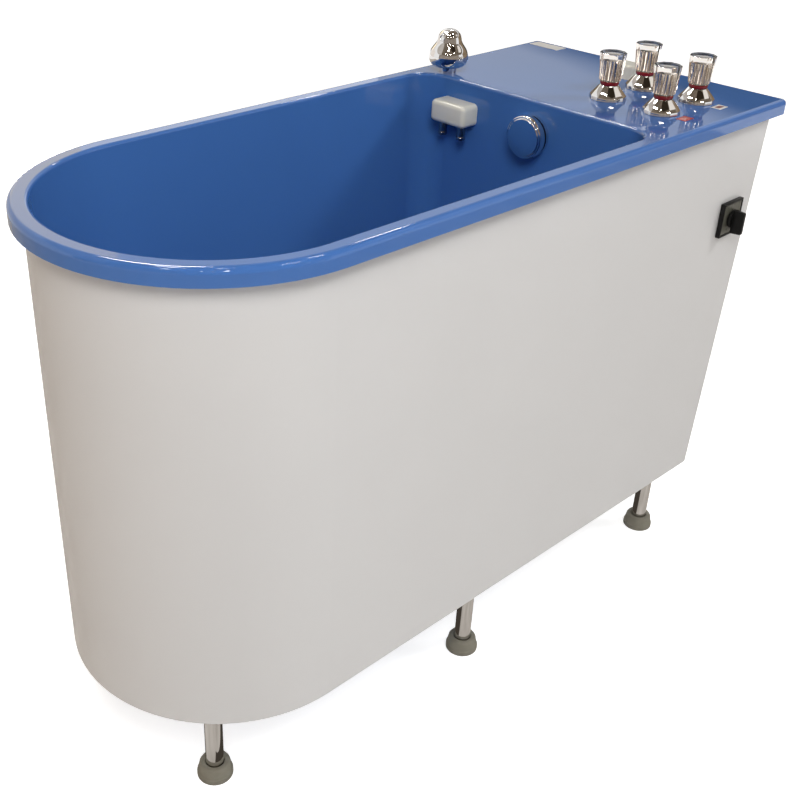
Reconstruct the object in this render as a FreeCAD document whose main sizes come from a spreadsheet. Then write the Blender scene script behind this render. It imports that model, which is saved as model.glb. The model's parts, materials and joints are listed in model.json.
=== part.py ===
import FreeCAD, Part
import math
import os
import Sketcher
from FreeCAD import Placement, Rotation, Vector

# Hydrotherapy leg tub, in millimetres.
# +X points to the deck with the taps, -Y to the side with the switch, +Z up.
# The floor is z = 0. Sketches are drawn about the tub's centre line; every piece is then
# moved by side_shift, so that the origin lies under the middle of the whole object.

doc = FreeCAD.newDocument("LegTub")
sheet = doc.addObject("Spreadsheet::Sheet", "Sheet")
places = doc.addObject("App::VarSet", "Places")
nodes = []

DRIVING_SIZES = [
    # whole tub
    ("overall_length", 1250),
    ("front_width", 510),
    ("rear_width", 530),
    ("overall_height", 850),
    # blue shell
    ("lip_height", 24),
    ("rim_width", 27),
    ("shell_wall", 6),
    ("floor_height", 230),
    ("deck_depth", 348),
    ("wall_draft", 24),
    ("deck_corner_radius", 9),
    ("basin_corner_radius", 45),
    ("floor_radius", 35),
    ("lip_edge_radius", 8),
    ("rim_edge_radius", 4.5),
    # white casing
    ("casing_inset", 17),
    ("casing_rear_inset", 19),
    ("casing_wall", 3),
    ("ground_clearance", 148),
    ("rear_lean", 46),
    ("panel_wall", 4),
    ("panel_gap", 0.5),
    # steel frame
    ("rail_size", 30),
    ("rail_wall", 2),
    ("rail_inset", 53),
    ("rail_end_gap", 3),
    ("front_rail_inset", 210),
    ("front_leg_inset", 119),
    ("middle_leg_x", 26),
    ("rear_leg_inset", 56),
    ("arm_overhang", 20),
    ("post_size", 20),
    ("screw_radius", 2.5),
    ("screw_length", 16),
    ("screw_head_radius", 4.8),
    ("screw_head_height", 3),
    ("screw_edge", 120),
    # legs and feet
    ("leg_radius", 13.5),
    ("leg_wall", 2),
    ("collar_plug", 10),
    ("collar_floor", 4),
    ("foot_radius", 27),
    ("foot_edge", 8),
    ("foot_top_radius", 19.5),
    ("foot_height", 26),
    ("foot_recess_radius", 15.5),
    ("foot_recess_depth", 6.5),
    ("foot_gap", 0.5),
    ("stem_radius", 8),
    ("stem_length", 74),
    # taps
    ("tap_set_back", 158),
    ("tap_side", 143),
    ("tap_spacing", 102),
    ("bell_radius", 30),
    ("bell_band", 5),
    ("bell_height", 23),
    ("bell_waist_radius", 24),
    ("bell_waist_height", 12.5),
    ("bell_neck_radius", 14),
    ("bell_wall", 3),
    ("ring_radius", 15.5),
    ("ring_height", 6.5),
    ("handle_low_radius", 17.5),
    ("handle_top_radius", 22),
    ("handle_height", 45),
    ("handle_bevel", 3),
    ("core_radius", 11.5),
    ("core_height", 33),
    ("spindle_radius", 5),
    ("spindle_depth", 36),
    ("valve_radius", 16),
    ("valve_depth", 52),
    ("valve_neck_radius", 10.5),
    ("valve_neck_rise", 6),
    ("nut_radius", 18),
    ("nut_height", 8),
    ("running_clearance", 0.05),
    ("hole_clearance", 0.5),
    ("lift_gap", 0.3),
    ("seal_gap", 0.1),
    # hand shower
    ("shower_set_back", 25),
    ("shower_side", 57),
    ("shower_stem_radius", 9.5),
    ("shower_stem_depth", 70),
    ("shower_bulb_radius", 31.5),
    ("shower_bulb_height", 42),
    ("shower_ball_radius", 18.5),
    ("shower_height", 72),
    ("socket_radius", 14.5),
    ("socket_height", 8),
    ("socket_wall", 3),
    ("socket_depth", 20),
    # inlet box on the end wall
    ("inlet_drop", 52),
    ("inlet_width", 77),
    ("inlet_height", 38),
    ("inlet_reach", 36),
    ("inlet_edge_radius", 6),
    ("nozzle_radius", 8),
    ("nozzle_bore", 5.5),
    ("nozzle_length", 24),
    ("nozzle_spacing", 42),
    # overflow, waste control and drain
    ("overflow_y", 8),
    ("overflow_drop", 56),
    ("rosette_radius", 33),
    ("rosette_height", 6),
    ("overflow_neck_radius", 19.5),
    ("overflow_chamber_radius", 24),
    ("overflow_chamber_length", 35),
    ("knob_radius", 35),
    ("knob_height", 16),
    ("knob_stand_off", 4),
    ("knob_bevel", 3),
    ("knob_shaft_radius", 5),
    ("knob_shaft_length", 30),
    ("waste_set_back", 77),
    ("waste_flange_radius", 35),
    ("waste_flange_height", 4),
    ("waste_tail_radius", 24),
    ("waste_tail_length", 30),
    ("waste_mouth_radius", 17),
    ("waste_bar_rise", 6),
    ("waste_bar_height", 6),
    ("waste_bar_width", 12),
    ("plug_radius", 23),
    ("plug_height", 6),
    ("plug_stem_radius", 4),
    ("plug_stem_length", 48),
    ("waste_pipe_radius", 20),
    ("overflow_pipe_radius", 16),
    ("waste_run_drop", 54),
    ("waste_outlet_run", 230),
    ("waste_outlet_drop", 60),
    ("pipe_wall", 2),
    # water pipes
    ("supply_radius", 11),
    ("supply_tail_radius", 10.5),
    ("supply_tail_length", 30),
    ("branch_radius", 8),
    ("branch_drop", 30),
    ("hot_inlet_rise", 30),
    ("cold_inlet_rise", 90),
    ("supply_clearance", 3.33),
    ("outlet_pipe_drop", 60),
    ("fill_run_gap", 28),
    ("shower_run_gap", 28),
    ("shower_run_clearance", 34),
    ("pipe_bend_radius", 26),
    # circulation pump
    ("pump_inset", 72),
    ("pump_rise", 80),
    ("strainer_radius", 40),
    ("strainer_height", 5),
    ("strainer_tail_radius", 21.5),
    ("strainer_bore", 18),
    ("strainer_face", 3),
    ("strainer_hole_radius", 4),
    ("strainer_hole_circle", 11.5),
    ("volute_gap", 17),
    ("volute_radius", 60),
    ("volute_length", 60),
    ("volute_outlet_radius", 18),
    ("volute_outlet_height", 70),
    ("volute_bore_depth", 30),
    ("motor_radius", 55),
    ("motor_end_gap", 20),
    ("motor_foot", 60),
    ("delivery_radius", 12),
    # switch
    ("switch_inset", 96),
    ("switch_drop", 165),
    ("switch_plate_size", 60),
    ("switch_plate_depth", 8),
    ("switch_plate_edge", 3),
    ("switch_boss_radius", 16),
    ("switch_boss_depth", 5),
    ("switch_bar_height", 40),
    ("switch_bar_drop", 5),
    ("switch_bar_width", 12),
    ("switch_bar_depth", 18),
    ("switch_shaft_radius", 4),
    ("switch_shaft_length", 34),
    ("switch_body_size", 46),
    ("switch_body_depth", 48),
    # small pieces on the deck
    ("vent_inset", 98),
    ("vent_y", 12),
    ("vent_length", 36),
    ("vent_width", 40),
    ("vent_height", 24),
    ("vent_edge_radius", 5),
    ("vent_stub_radius", 9.5),
    ("vent_stub_length", 20),
    ("plate_thickness", 0.6),
    ("index_plate_length", 32),
    ("index_plate_width", 22),
    ("index_plate_offset", 44),
    ("rating_plate_length", 28),
    ("rating_plate_width", 66),
    ("rating_plate_edge", 14),
]

# Places worked out from the driving sizes. S stands for the sheet and P for this set.
DERIVED_PLACES = [
    ("rim_radius", "S.front_width / 2"),
    ("arc_back", "S.overall_length / 2 - P.rim_radius"),
    ("rim_rear", "S.overall_length / 2"),
    ("rim_half", "S.rear_width / 2"),
    ("side_slope", "(P.rim_half - P.rim_radius) / (P.rim_rear - S.deck_corner_radius + P.arc_back)"),
    ("lip_bottom", "S.overall_height - S.lip_height"),
    ("deck_under", "S.overall_height - S.shell_wall"),
    ("basin_end", "P.rim_rear - S.deck_depth"),
    ("end_wall_back", "P.basin_end + S.shell_wall"),
    ("basin_radius", "P.rim_radius - S.rim_width"),
    ("basin_half", "P.basin_radius + P.side_slope * (P.basin_end - S.basin_corner_radius + P.arc_back)"),
    ("floor_z", "S.floor_height"),
    ("floor_under", "P.floor_z - S.shell_wall"),
    ("floor_arc", "P.basin_radius - S.wall_draft"),
    ("floor_half", "P.basin_half - S.wall_draft"),
    ("hull_radius", "P.basin_radius + S.shell_wall"),
    ("hull_half", "P.basin_half + S.shell_wall"),
    ("hull_corner", "S.basin_corner_radius + S.shell_wall"),
    ("hull_floor_arc", "P.floor_arc + S.shell_wall"),
    ("hull_floor_half", "P.floor_half + S.shell_wall"),
    ("casing_radius", "P.rim_radius - S.casing_inset"),
    ("casing_half", "P.rim_half - S.casing_inset"),
    ("casing_inner_radius", "P.casing_radius - S.casing_wall"),
    ("casing_inner_half", "P.casing_half - S.casing_wall"),
    ("casing_open_x", "P.rim_rear + S.deck_depth"),
    ("casing_open_half", "P.casing_inner_half + P.side_slope * S.deck_depth"),
    ("rear_top_x", "P.rim_rear - S.casing_rear_inset"),
    ("rear_bottom_x", "P.rear_top_x - S.rear_lean"),
    ("casing_height", "P.lip_bottom - S.ground_clearance"),
    ("lean_angle", "atan(S.rear_lean / P.casing_height) / 1deg"),
    ("panel_length", "sqrt(P.casing_height ^ 2 + S.rear_lean ^ 2) - 1"),
    ("panel_half", "P.casing_inner_half - P.side_slope * (P.rim_rear - P.rear_bottom_x) - S.panel_gap"),
    ("screw_pitch", "P.panel_length / 2 - S.screw_edge"),
    ("rail_bottom", "P.floor_under - S.rail_size"),
    ("rail_y", "P.rim_radius - S.rail_inset"),
    ("front_rail_x", "P.rim_rear - S.front_rail_inset"),
    ("front_leg_x", "P.rim_rear - S.front_leg_inset"),
    ("front_leg_y", "P.rim_radius - S.front_leg_inset"),
    ("rear_leg_x", "P.rear_bottom_x - S.rear_leg_inset"),
    ("rail_rear", "P.rear_bottom_x - S.panel_wall - S.rail_end_gap"),
    ("rail_front", "P.front_rail_x + S.rail_size / 2"),
    ("post_start", "P.floor_under - S.ground_clearance + 2"),
    ("foot_seat", "S.foot_height - S.foot_recess_depth"),
    ("collar_bottom", "P.foot_seat + S.foot_gap"),
    ("leg_bottom", "P.collar_bottom + S.collar_floor"),
    ("handle_base", "S.bell_height + S.ring_height + S.lift_gap"),
    ("tap_x", "P.basin_end + S.tap_set_back"),
    ("tap_y", "P.rim_half - S.tap_side"),
    ("tap_front", "P.tap_x - S.tap_spacing / 2"),
    ("tap_rear", "P.tap_x + S.tap_spacing / 2"),
    ("tap_inner", "P.tap_y - S.tap_spacing / 2"),
    ("tap_outer", "P.tap_y + S.tap_spacing / 2"),
    ("branch_z", "S.overall_height - S.branch_drop"),
    ("outlet_pipe_z", "S.overall_height - S.outlet_pipe_drop"),
    ("outlet_reach", "P.tap_rear + S.branch_radius"),
    ("fill_run_x", "P.tap_front - S.fill_run_gap"),
    ("shower_x", "P.basin_end + S.shower_set_back"),
    ("shower_y", "P.rim_half - S.shower_side"),
    ("shower_run_x", "P.shower_x + S.shower_run_gap"),
    ("shower_seat", "S.socket_height + S.lift_gap"),
    ("bulb_middle", "P.shower_seat + S.shower_bulb_height / 2"),
    ("pump_y", "P.rail_y - S.pump_inset"),
    ("pump_z", "P.floor_z + S.pump_rise"),
    ("shower_run_end", "P.pump_y - S.shower_run_clearance"),
    ("volute_x", "P.end_wall_back + S.volute_gap"),
    ("delivery_x", "P.volute_x + S.volute_length / 2"),
    ("motor_x", "P.volute_x + S.volute_length"),
    ("motor_length", "P.rear_bottom_x - S.motor_end_gap - P.motor_x"),
    ("nozzle_far", "P.pump_y + S.nozzle_spacing"),
    ("inlet_y", "P.pump_y + S.nozzle_spacing / 2"),
    ("inlet_z", "S.overall_height - S.inlet_drop"),
    ("inlet_bottom", "P.inlet_z - S.inlet_height / 2"),
    ("overflow_z", "S.overall_height - S.overflow_drop"),
    ("overflow_pipe_x", "P.end_wall_back + S.overflow_chamber_length / 2"),
    ("waste_x", "P.basin_end - S.waste_set_back"),
    ("waste_run_z", "P.floor_under - S.waste_run_drop"),
    ("waste_outlet_x", "P.waste_x + S.waste_outlet_run"),
    ("waste_outlet_z", "P.waste_run_z - S.waste_outlet_drop"),
    ("wall_seat", "P.basin_end - S.seal_gap"),
    ("inlet_front", "P.wall_seat - S.inlet_reach"),
    ("rosette_front", "P.wall_seat - S.rosette_height"),
    ("hot_inlet_z", "P.floor_z + S.hot_inlet_rise"),
    ("cold_inlet_z", "P.floor_z + S.cold_inlet_rise"),
    ("panel_slope", "S.rear_lean / P.casing_height"),
    ("supply_panel_x", "P.rear_bottom_x + P.panel_slope * (P.cold_inlet_z - S.ground_clearance)"),
    ("supply_tail_x", "P.supply_panel_x + S.supply_clearance"),
    ("supply_end_x", "P.supply_tail_x + S.supply_tail_length"),
    ("switch_x", "P.rim_rear - S.switch_inset"),
    ("switch_z", "P.lip_bottom - S.switch_drop"),
    ("wall_lean", "abs(P.side_slope) / 2"),
    ("switch_wall",
     "(P.casing_radius + P.side_slope * (P.arc_back + P.switch_x) + P.wall_lean * S.switch_plate_size)"
     " / sqrt(1 - P.side_slope ^ 2)"),
    ("switch_inner",
     "P.casing_inner_half - P.side_slope * (P.rim_rear - P.switch_x)"
     " - P.wall_lean * S.switch_body_size"),
    ("switch_face", "P.switch_wall + S.switch_plate_depth + S.lift_gap"),
    ("switch_reach", "P.switch_face + S.switch_boss_depth + S.switch_bar_depth"),
    ("vent_x", "P.rim_rear - S.vent_inset"),
    ("side_shift", "(P.switch_reach - P.rim_half) / 2"),
]


def full_names(text):
    """Spell out the short S. and P. prefixes of an expression."""
    return text.replace("S.", "Sheet.").replace("P.", "Places.")


def number(text):
    """The present value of one named size, such as S.rail_size or P.basin_end."""
    holder, name = text.split(".")
    return float(sheet.get(name)) if holder == "S" else float(getattr(places, name))


def bind(obj, prop, text):
    obj.setExpression(prop, full_names(text))


def fill_sheet():
    for row, (name, size) in enumerate(DRIVING_SIZES, start=1):
        sheet.set("A%d" % row, name)
        sheet.set("B%d" % row, str(size))
        sheet.setAlias("B%d" % row, name)
    doc.recompute()
    for name, text in DERIVED_PLACES:
        places.addProperty("App::PropertyFloat", name)
        bind(places, name, text)
    doc.recompute()


def place(obj, x="0", y="0", z="0"):
    """Put a piece at a point given about the tub's centre line."""
    bind(obj, "Placement.Base.x", x)
    bind(obj, "Placement.Base.y", y + " + P.side_shift")
    bind(obj, "Placement.Base.z", z)


def node(obj, label):
    """Register a finished sub-part."""
    obj.Label = label
    nodes.append(obj)
    return obj


def new_body(name):
    return doc.addObject("PartDesign::Body", name)


def origin_feature(body, role):
    return [f for f in body.Origin.OriginFeatures if f.Role == role][0]


def new_sketch(body, role, height="0"):
    sketch = body.newObject("Sketcher::SketchObject", "Sketch")
    sketch.AttachmentSupport = [(origin_feature(body, role), "")]
    sketch.MapMode = "FlatFace"
    if height != "0":
        bind(sketch, "AttachmentOffset.Base.z", height)
    return sketch


def constrain(sketch, text, *args):
    """Add a dimension and bind it to a named size."""
    index = sketch.addConstraint(Sketcher.Constraint(*args))
    bind(sketch, "Constraints[%d]" % index, text)


def pin_point(sketch, geometry, x, y):
    """Fix the first point of a line at x, y, both zero or positive."""
    for kind, axis, text in (("DistanceX", -2, x), ("DistanceY", -1, y)):
        if text == "0":
            sketch.addConstraint(Sketcher.Constraint("PointOnObject", geometry, 1, axis))
        else:
            constrain(sketch, text, kind, -1, 1, geometry, 1, 20.0)


def draw_polygon(sketch, corners):
    count = len(corners)
    rough = [Vector(60 + 40 * math.cos(2 * math.pi * i / count),
                    60 + 40 * math.sin(2 * math.pi * i / count), 0) for i in range(count)]
    first = sketch.GeometryCount
    for i in range(count):
        sketch.addGeometry(Part.LineSegment(rough[i], rough[(i + 1) % count]))
    for i in range(count):
        sketch.addConstraint(Sketcher.Constraint("Coincident", first + i, 2, first + (i + 1) % count, 1))
    for i, (x, y) in enumerate(corners):
        pin_point(sketch, first + i, x, y)


def draw_circle(sketch, radius, x, y):
    """Circle at a place given by signed texts: a leading minus means the negative side."""
    sides = [-1 if text.startswith("-") else 1 for text in (x, y)]
    centre = Vector(sides[0] * 100.0, sides[1] * 100.0, 0)
    circle = sketch.addGeometry(Part.Circle(centre, Vector(0, 0, 1), 5.0))
    constrain(sketch, radius, "Radius", circle, 5.0)
    for kind, axis, text, side in (("DistanceX", -2, x, sides[0]), ("DistanceY", -1, y, sides[1])):
        if text == "0":
            sketch.addConstraint(Sketcher.Constraint("PointOnObject", circle, 3, axis))
        elif side > 0:
            constrain(sketch, text, kind, -1, 1, circle, 3, 100.0)
        else:
            constrain(sketch, text[1:], kind, circle, 3, -1, 1, 100.0)


def draw_tub_outline(sketch, radius, rear, half, corner):
    """Round front end, two straight sides and a straight rear with rounded corners."""
    back, r = number("P.arc_back"), number(radius)
    x_rear, y_rear, c = number(rear), number(half), number(corner)
    low = Sketcher.Constraint
    up = Vector(0, 0, 1)
    tilt = math.asin((y_rear - c - (r - c)) / (x_rear - c + back))
    front_end = Vector(-back - r * math.sin(tilt), r * math.cos(tilt), 0)
    corner_mid = Vector(x_rear - c, y_rear - c, 0)
    corner_start = corner_mid + Vector(-c * math.sin(tilt), c * math.cos(tilt), 0)
    corner_end = Vector(x_rear, y_rear - c, 0)

    def mirrored(point):
        return Vector(point.x, -point.y, 0)

    front = sketch.addGeometry(Part.ArcOfCircle(
        Part.Circle(Vector(-back, 0, 0), up, r), math.pi / 2 + tilt, 3 * math.pi / 2 - tilt))
    near = sketch.addGeometry(Part.LineSegment(mirrored(front_end), mirrored(corner_start)))
    near_corner = sketch.addGeometry(Part.ArcOfCircle(
        Part.Circle(mirrored(corner_mid), up, c), -math.pi / 2 - tilt, 0))
    end = sketch.addGeometry(Part.LineSegment(mirrored(corner_end), corner_end))
    far_corner = sketch.addGeometry(Part.ArcOfCircle(
        Part.Circle(corner_mid, up, c), 0, math.pi / 2 + tilt))
    far = sketch.addGeometry(Part.LineSegment(corner_start, front_end))
    ring = [front, near, near_corner, end, far_corner, far]
    for this, following in zip(ring, ring[1:] + ring[:1]):
        sketch.addConstraint(low("Tangent", this, 2, following, 1))
    sketch.addConstraint(low("PointOnObject", front, 3, -1))
    sketch.addConstraint(low("Equal", near_corner, far_corner))
    sketch.addConstraint(low("Symmetric", near_corner, 3, far_corner, 3, -1))
    constrain(sketch, "P.arc_back", "DistanceX", front, 3, -1, 1, back)
    constrain(sketch, radius, "Radius", front, r)
    constrain(sketch, corner, "Radius", far_corner, c)
    constrain(sketch, rear, "DistanceX", -1, 1, end, 1, x_rear)
    constrain(sketch, half + " - " + corner, "DistanceY", -1, 1, far_corner, 3, y_rear - c)


def pad(body, sketch, length, both_sides=False):
    feature = body.newObject("PartDesign::Pad", "Pad")
    feature.Profile = sketch
    bind(feature, "Length", length)
    if both_sides:
        feature.SideType = "Symmetric"
    doc.recompute()
    return feature


def pocket(body, sketch, length="", reverse=False, both_sides=False):
    """Cut a sketch into the body, through everything when no length is given."""
    before = body.Shape.Volume
    feature = body.newObject("PartDesign::Pocket", "Pocket")
    feature.Profile = sketch
    feature.Reversed = reverse
    if both_sides:
        feature.SideType = "Symmetric"
    if length:
        bind(feature, "Length", length)
    else:
        feature.Type = "ThroughAll"
    doc.recompute()
    if not body.Shape.Volume < before - 0.1:
        raise RuntimeError("a cut in %s removed nothing" % body.Name)
    return feature


def loft(body, kind, lower, upper):
    feature = body.newObject(kind, "Loft")
    feature.Profile = lower
    feature.Sections = [upper]
    feature.Ruled = True
    doc.recompute()
    return feature


def round_edges(body, wanted, radius):
    """Fillet the edges of the body's present shape that the test picks."""
    base = body.Tip
    names = ["Edge%d" % (i + 1) for i, edge in enumerate(base.Shape.Edges) if wanted(edge)]
    feature = body.newObject("PartDesign::Fillet", "Fillet")
    feature.Base = (base, names)
    bind(feature, "Radius", radius)
    doc.recompute()
    return feature


def lies_at(edge, height):
    box = edge.BoundBox
    return abs(box.ZMin - height) < 0.01 and abs(box.ZMax - height) < 0.01


def revolved(name, profile):
    """Body turned about its own Z axis from a half profile of (radius, height) corners."""
    body = new_body(name)
    sketch = new_sketch(body, "XZ_Plane")
    draw_polygon(sketch, profile)
    turn = body.newObject("PartDesign::Revolution", "Revolution")
    turn.Profile = sketch
    turn.ReferenceAxis = (origin_feature(body, "Z_Axis"), [""])
    turn.Angle = 360.0
    doc.recompute()
    return body


def box(name, length, width, height, x="0", y="0", z="0"):
    """Plain block given by its low corner."""
    obj = doc.addObject("Part::Box", name)
    for prop, text in (("Length", length), ("Width", width), ("Height", height),
                       ("Placement.Base.x", x), ("Placement.Base.y", y), ("Placement.Base.z", z)):
        bind(obj, prop, text)
    return obj


def rod(name, radius, length, x="0", y="0", z="0", along="Z"):
    """Plain cylinder from a point, along +X, +Y or +Z."""
    obj = doc.addObject("Part::Cylinder", name)
    turns = {"X": Rotation(Vector(0, 1, 0), 90), "Y": Rotation(Vector(1, 0, 0), -90), "Z": Rotation()}
    obj.Placement = Placement(Vector(), turns[along])
    for prop, text in (("Radius", radius), ("Height", length),
                       ("Placement.Base.x", x), ("Placement.Base.y", y), ("Placement.Base.z", z)):
        bind(obj, prop, text)
    return obj


def cut(name, base, tools):
    tool = tools[0]
    if len(tools) > 1:
        tool = doc.addObject("Part::MultiFuse", name + "Tools")
        tool.Shapes = tools
    obj = doc.addObject("Part::Cut", name)
    obj.Base = base
    obj.Tool = tool
    return obj


def fuse(name, pieces):
    obj = doc.addObject("Part::MultiFuse", name)
    obj.Shapes = pieces
    return obj


def group(name, pieces):
    obj = doc.addObject("Part::Compound", name)
    obj.Links = pieces
    return obj


def square_tube(name, along, length, x, y, z):
    """Hollow square rail from its low corner, along X or Y."""
    wall = "S.rail_wall"
    bore = "S.rail_size - 2 * " + wall
    if along == "X":
        outer = box(name + "Out", length, "S.rail_size", "S.rail_size", x, y, z)
        inner = box(name + "In", length, bore, bore, x, y + " + " + wall, z + " + " + wall)
    else:
        outer = box(name + "Out", "S.rail_size", length, "S.rail_size", x, y, z)
        inner = box(name + "In", bore, length, bore, x + " + " + wall, y, z + " + " + wall)
    return cut(name, outer, [inner])


def pipe_solid(points, radius, bend):
    """Solid round bar along a route whose corners are rounded."""
    edges, start = [], points[0]
    for before, corner, after in zip(points, points[1:], points[2:]):
        back = (before - corner).normalize()
        ahead = (after - corner).normalize()
        enter, leave = corner + back * bend, corner + ahead * bend
        middle = corner + (back + ahead).normalize() * bend * (math.sqrt(2) - 1)
        edges += [Part.makeLine(start, enter), Part.Arc(enter, middle, leave).toShape()]
        start = leave
    edges.append(Part.makeLine(start, points[-1]))
    spine = Part.Wire(edges)
    ring = Part.Wire([Part.makeCircle(radius, points[0], points[1] - points[0])])
    return spine.makePipeShell([ring], True, False)


def hollow_pipe(label, routes):
    """One piece of pipework: each route is (points, outer radius), all open inside."""
    wall, bend = number("S.pipe_wall"), number("S.pipe_bend_radius")
    outer = [pipe_solid(points, radius, bend) for points, radius in routes]
    inner = [pipe_solid(points, radius - wall, bend) for points, radius in routes]
    shape = outer[0].multiFuse(outer[1:]) if outer[1:] else outer[0]
    for core in inner:
        shape = shape.cut(core)
    obj = doc.addObject("Part::Feature", label)
    obj.Shape = shape.removeSplitter().Solids[0]
    place(obj)
    return node(obj, label)


def make_basin_space():
    """The water space, which is cut out of the shell."""
    body = new_body("BasinSpace")
    mouth = new_sketch(body, "XY_Plane", "S.overall_height")
    draw_tub_outline(mouth, "P.basin_radius", "P.basin_end", "P.basin_half", "S.basin_corner_radius")
    floor = new_sketch(body, "XY_Plane", "P.floor_z")
    draw_tub_outline(floor, "P.floor_arc", "P.basin_end", "P.floor_half", "S.basin_corner_radius")
    loft(body, "PartDesign::AdditiveLoft", mouth, floor)
    round_edges(body, lambda e: lies_at(e, number("P.floor_z")), "S.floor_radius")
    return body


def make_tub_shell():
    body = new_body("TubShell")
    rim = new_sketch(body, "XY_Plane", "P.lip_bottom")
    draw_tub_outline(rim, "P.rim_radius", "P.rim_rear", "P.rim_half", "S.deck_corner_radius")
    pad(body, rim, "S.lip_height")

    under = new_sketch(body, "XY_Plane", "P.lip_bottom")
    draw_deck_hollow(under, "P.end_wall_back", "P.rim_rear - S.rim_width", "P.rim_half - S.rim_width")
    pocket(body, under, "S.lip_height - S.shell_wall", reverse=True)

    hull_top = new_sketch(body, "XY_Plane", "P.lip_bottom")
    draw_tub_outline(hull_top, "P.hull_radius", "P.end_wall_back", "P.hull_half", "P.hull_corner")
    hull_low = new_sketch(body, "XY_Plane", "P.floor_under")
    draw_tub_outline(hull_low, "P.hull_floor_arc", "P.end_wall_back", "P.hull_floor_half", "P.hull_corner")
    loft(body, "PartDesign::AdditiveLoft", hull_top, hull_low)
    round_edges(body, lambda e: lies_at(e, number("P.floor_under")), "S.floor_radius + S.shell_wall")

    hollow = body.newObject("PartDesign::Boolean", "Hollow")
    hollow.Type = "Cut"
    hollow.setObjects([make_basin_space()])
    doc.recompute()

    top = number("S.overall_height")
    outer_length = number("S.overall_length") / 2 - number("S.deck_corner_radius") - 1

    def on_lip(edge):
        middle = edge.CenterOfMass
        spans_deck = edge.BoundBox.XMax > number("P.basin_end") + 1
        far_out = abs(middle.y) > number("P.basin_half") + 2 or middle.x > outer_length
        front = edge.BoundBox.XMin < -number("S.overall_length") / 2 + 1
        return lies_at(edge, top) and (spans_deck and far_out or front)

    round_edges(body, on_lip, "S.lip_edge_radius")
    round_edges(body, lambda e: lies_at(e, top) and on_basin_edge(e), "S.rim_edge_radius")

    deck_holes = new_sketch(body, "XY_Plane", "S.overall_height")
    for x, y in tap_places().values():
        draw_circle(deck_holes, "S.valve_neck_radius + S.hole_clearance", x, y)
    draw_circle(deck_holes, "S.shower_stem_radius + S.socket_wall + S.hole_clearance",
                "P.shower_x", "P.shower_y")
    draw_circle(deck_holes, "S.vent_stub_radius + S.hole_clearance", "P.vent_x", "-S.vent_y")
    pocket(body, deck_holes)

    drain = new_sketch(body, "XY_Plane", "P.floor_z")
    draw_circle(drain, "S.waste_tail_radius + S.hole_clearance", "P.waste_x", "-S.overflow_y")
    pocket(body, drain)

    wall_holes = new_sketch(body, "YZ_Plane")
    draw_circle(wall_holes, "S.overflow_neck_radius + S.hole_clearance", "-S.overflow_y", "P.overflow_z")
    draw_circle(wall_holes, "S.delivery_radius + S.hole_clearance", "P.pump_y", "P.inlet_z")
    draw_circle(wall_holes, "S.branch_radius + S.hole_clearance", "P.nozzle_far", "P.outlet_pipe_z")
    draw_circle(wall_holes, "S.strainer_tail_radius + S.hole_clearance", "P.pump_y", "P.pump_z")
    pocket(body, wall_holes, reverse=True)
    place(body)
    return node(body, "tub_shell")


def on_basin_edge(edge):
    """True for the top edges of the basin's mouth."""
    middle = edge.CenterOfMass
    return edge.BoundBox.XMax < number("P.basin_end") + 1 and abs(middle.y) < number("P.basin_half") + 1


def draw_deck_hollow(sketch, front, rear, half):
    """Rectangle under the deck, even about the centre line."""
    west = number(front)
    east = number("P.rim_rear") - number("S.rim_width")
    side = number("P.rim_half") - number("S.rim_width")
    corners = [Vector(west, -side, 0), Vector(east, -side, 0), Vector(east, side, 0), Vector(west, side, 0)]
    a, b, c, d = [sketch.addGeometry(Part.LineSegment(corners[i], corners[(i + 1) % 4])) for i in range(4)]
    for this, following in ((a, b), (b, c), (c, d), (d, a)):
        sketch.addConstraint(Sketcher.Constraint("Coincident", this, 2, following, 1))
    sketch.addConstraint(Sketcher.Constraint("Horizontal", a))
    sketch.addConstraint(Sketcher.Constraint("Horizontal", c))
    sketch.addConstraint(Sketcher.Constraint("Vertical", d))
    sketch.addConstraint(Sketcher.Constraint("Symmetric", a, 2, c, 1, -1))
    constrain(sketch, front, "DistanceX", -1, 1, d, 1, west)
    constrain(sketch, rear, "DistanceX", -1, 1, b, 1, east)
    constrain(sketch, half, "DistanceY", -1, 1, c, 1, side)


def make_casing_wrap():
    body = new_body("CasingWrap")
    outer = new_sketch(body, "XY_Plane", "S.ground_clearance")
    draw_tub_outline(outer, "P.casing_radius", "P.rim_rear", "P.casing_half", "S.deck_corner_radius")
    pad(body, outer, "P.casing_height")
    inner = new_sketch(body, "XY_Plane", "P.lip_bottom")
    draw_tub_outline(inner, "P.casing_inner_radius", "P.casing_open_x", "P.casing_open_half",
                     "S.deck_corner_radius")
    pocket(body, inner)
    trim = new_sketch(body, "XZ_Plane")
    draw_polygon(trim, [("P.rear_bottom_x", "S.ground_clearance"),
                        ("P.casing_open_x", "S.ground_clearance"),
                        ("P.casing_open_x", "P.lip_bottom"), ("P.rear_top_x", "P.lip_bottom")])
    pocket(body, trim, both_sides=True)
    hole = new_sketch(body, "XZ_Plane")
    draw_circle(hole, "S.switch_boss_radius / 2", "P.switch_x", "P.switch_z")
    pocket(body, hole, reverse=True)
    place(body)
    return node(body, "casing_wrap")


def tap_places():
    """Axes of the four taps: front and rear, inner and outer row."""
    return {"front_inner_tap": ("P.tap_front", "-P.tap_inner"),
            "rear_inner_tap": ("P.tap_rear", "-P.tap_inner"),
            "front_outer_tap": ("P.tap_front", "-P.tap_outer"),
            "rear_outer_tap": ("P.tap_rear", "-P.tap_outer")}


def lean(obj):
    """Stand a piece in the frame of the rear panel, which leans in towards the floor."""
    obj.Placement = Placement(Vector(), Rotation(Vector(0, 1, 0), 1))
    bind(obj, "Placement.Rotation.Angle", "P.lean_angle")
    place(obj, "P.rear_bottom_x", "0", "S.ground_clearance")


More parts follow.
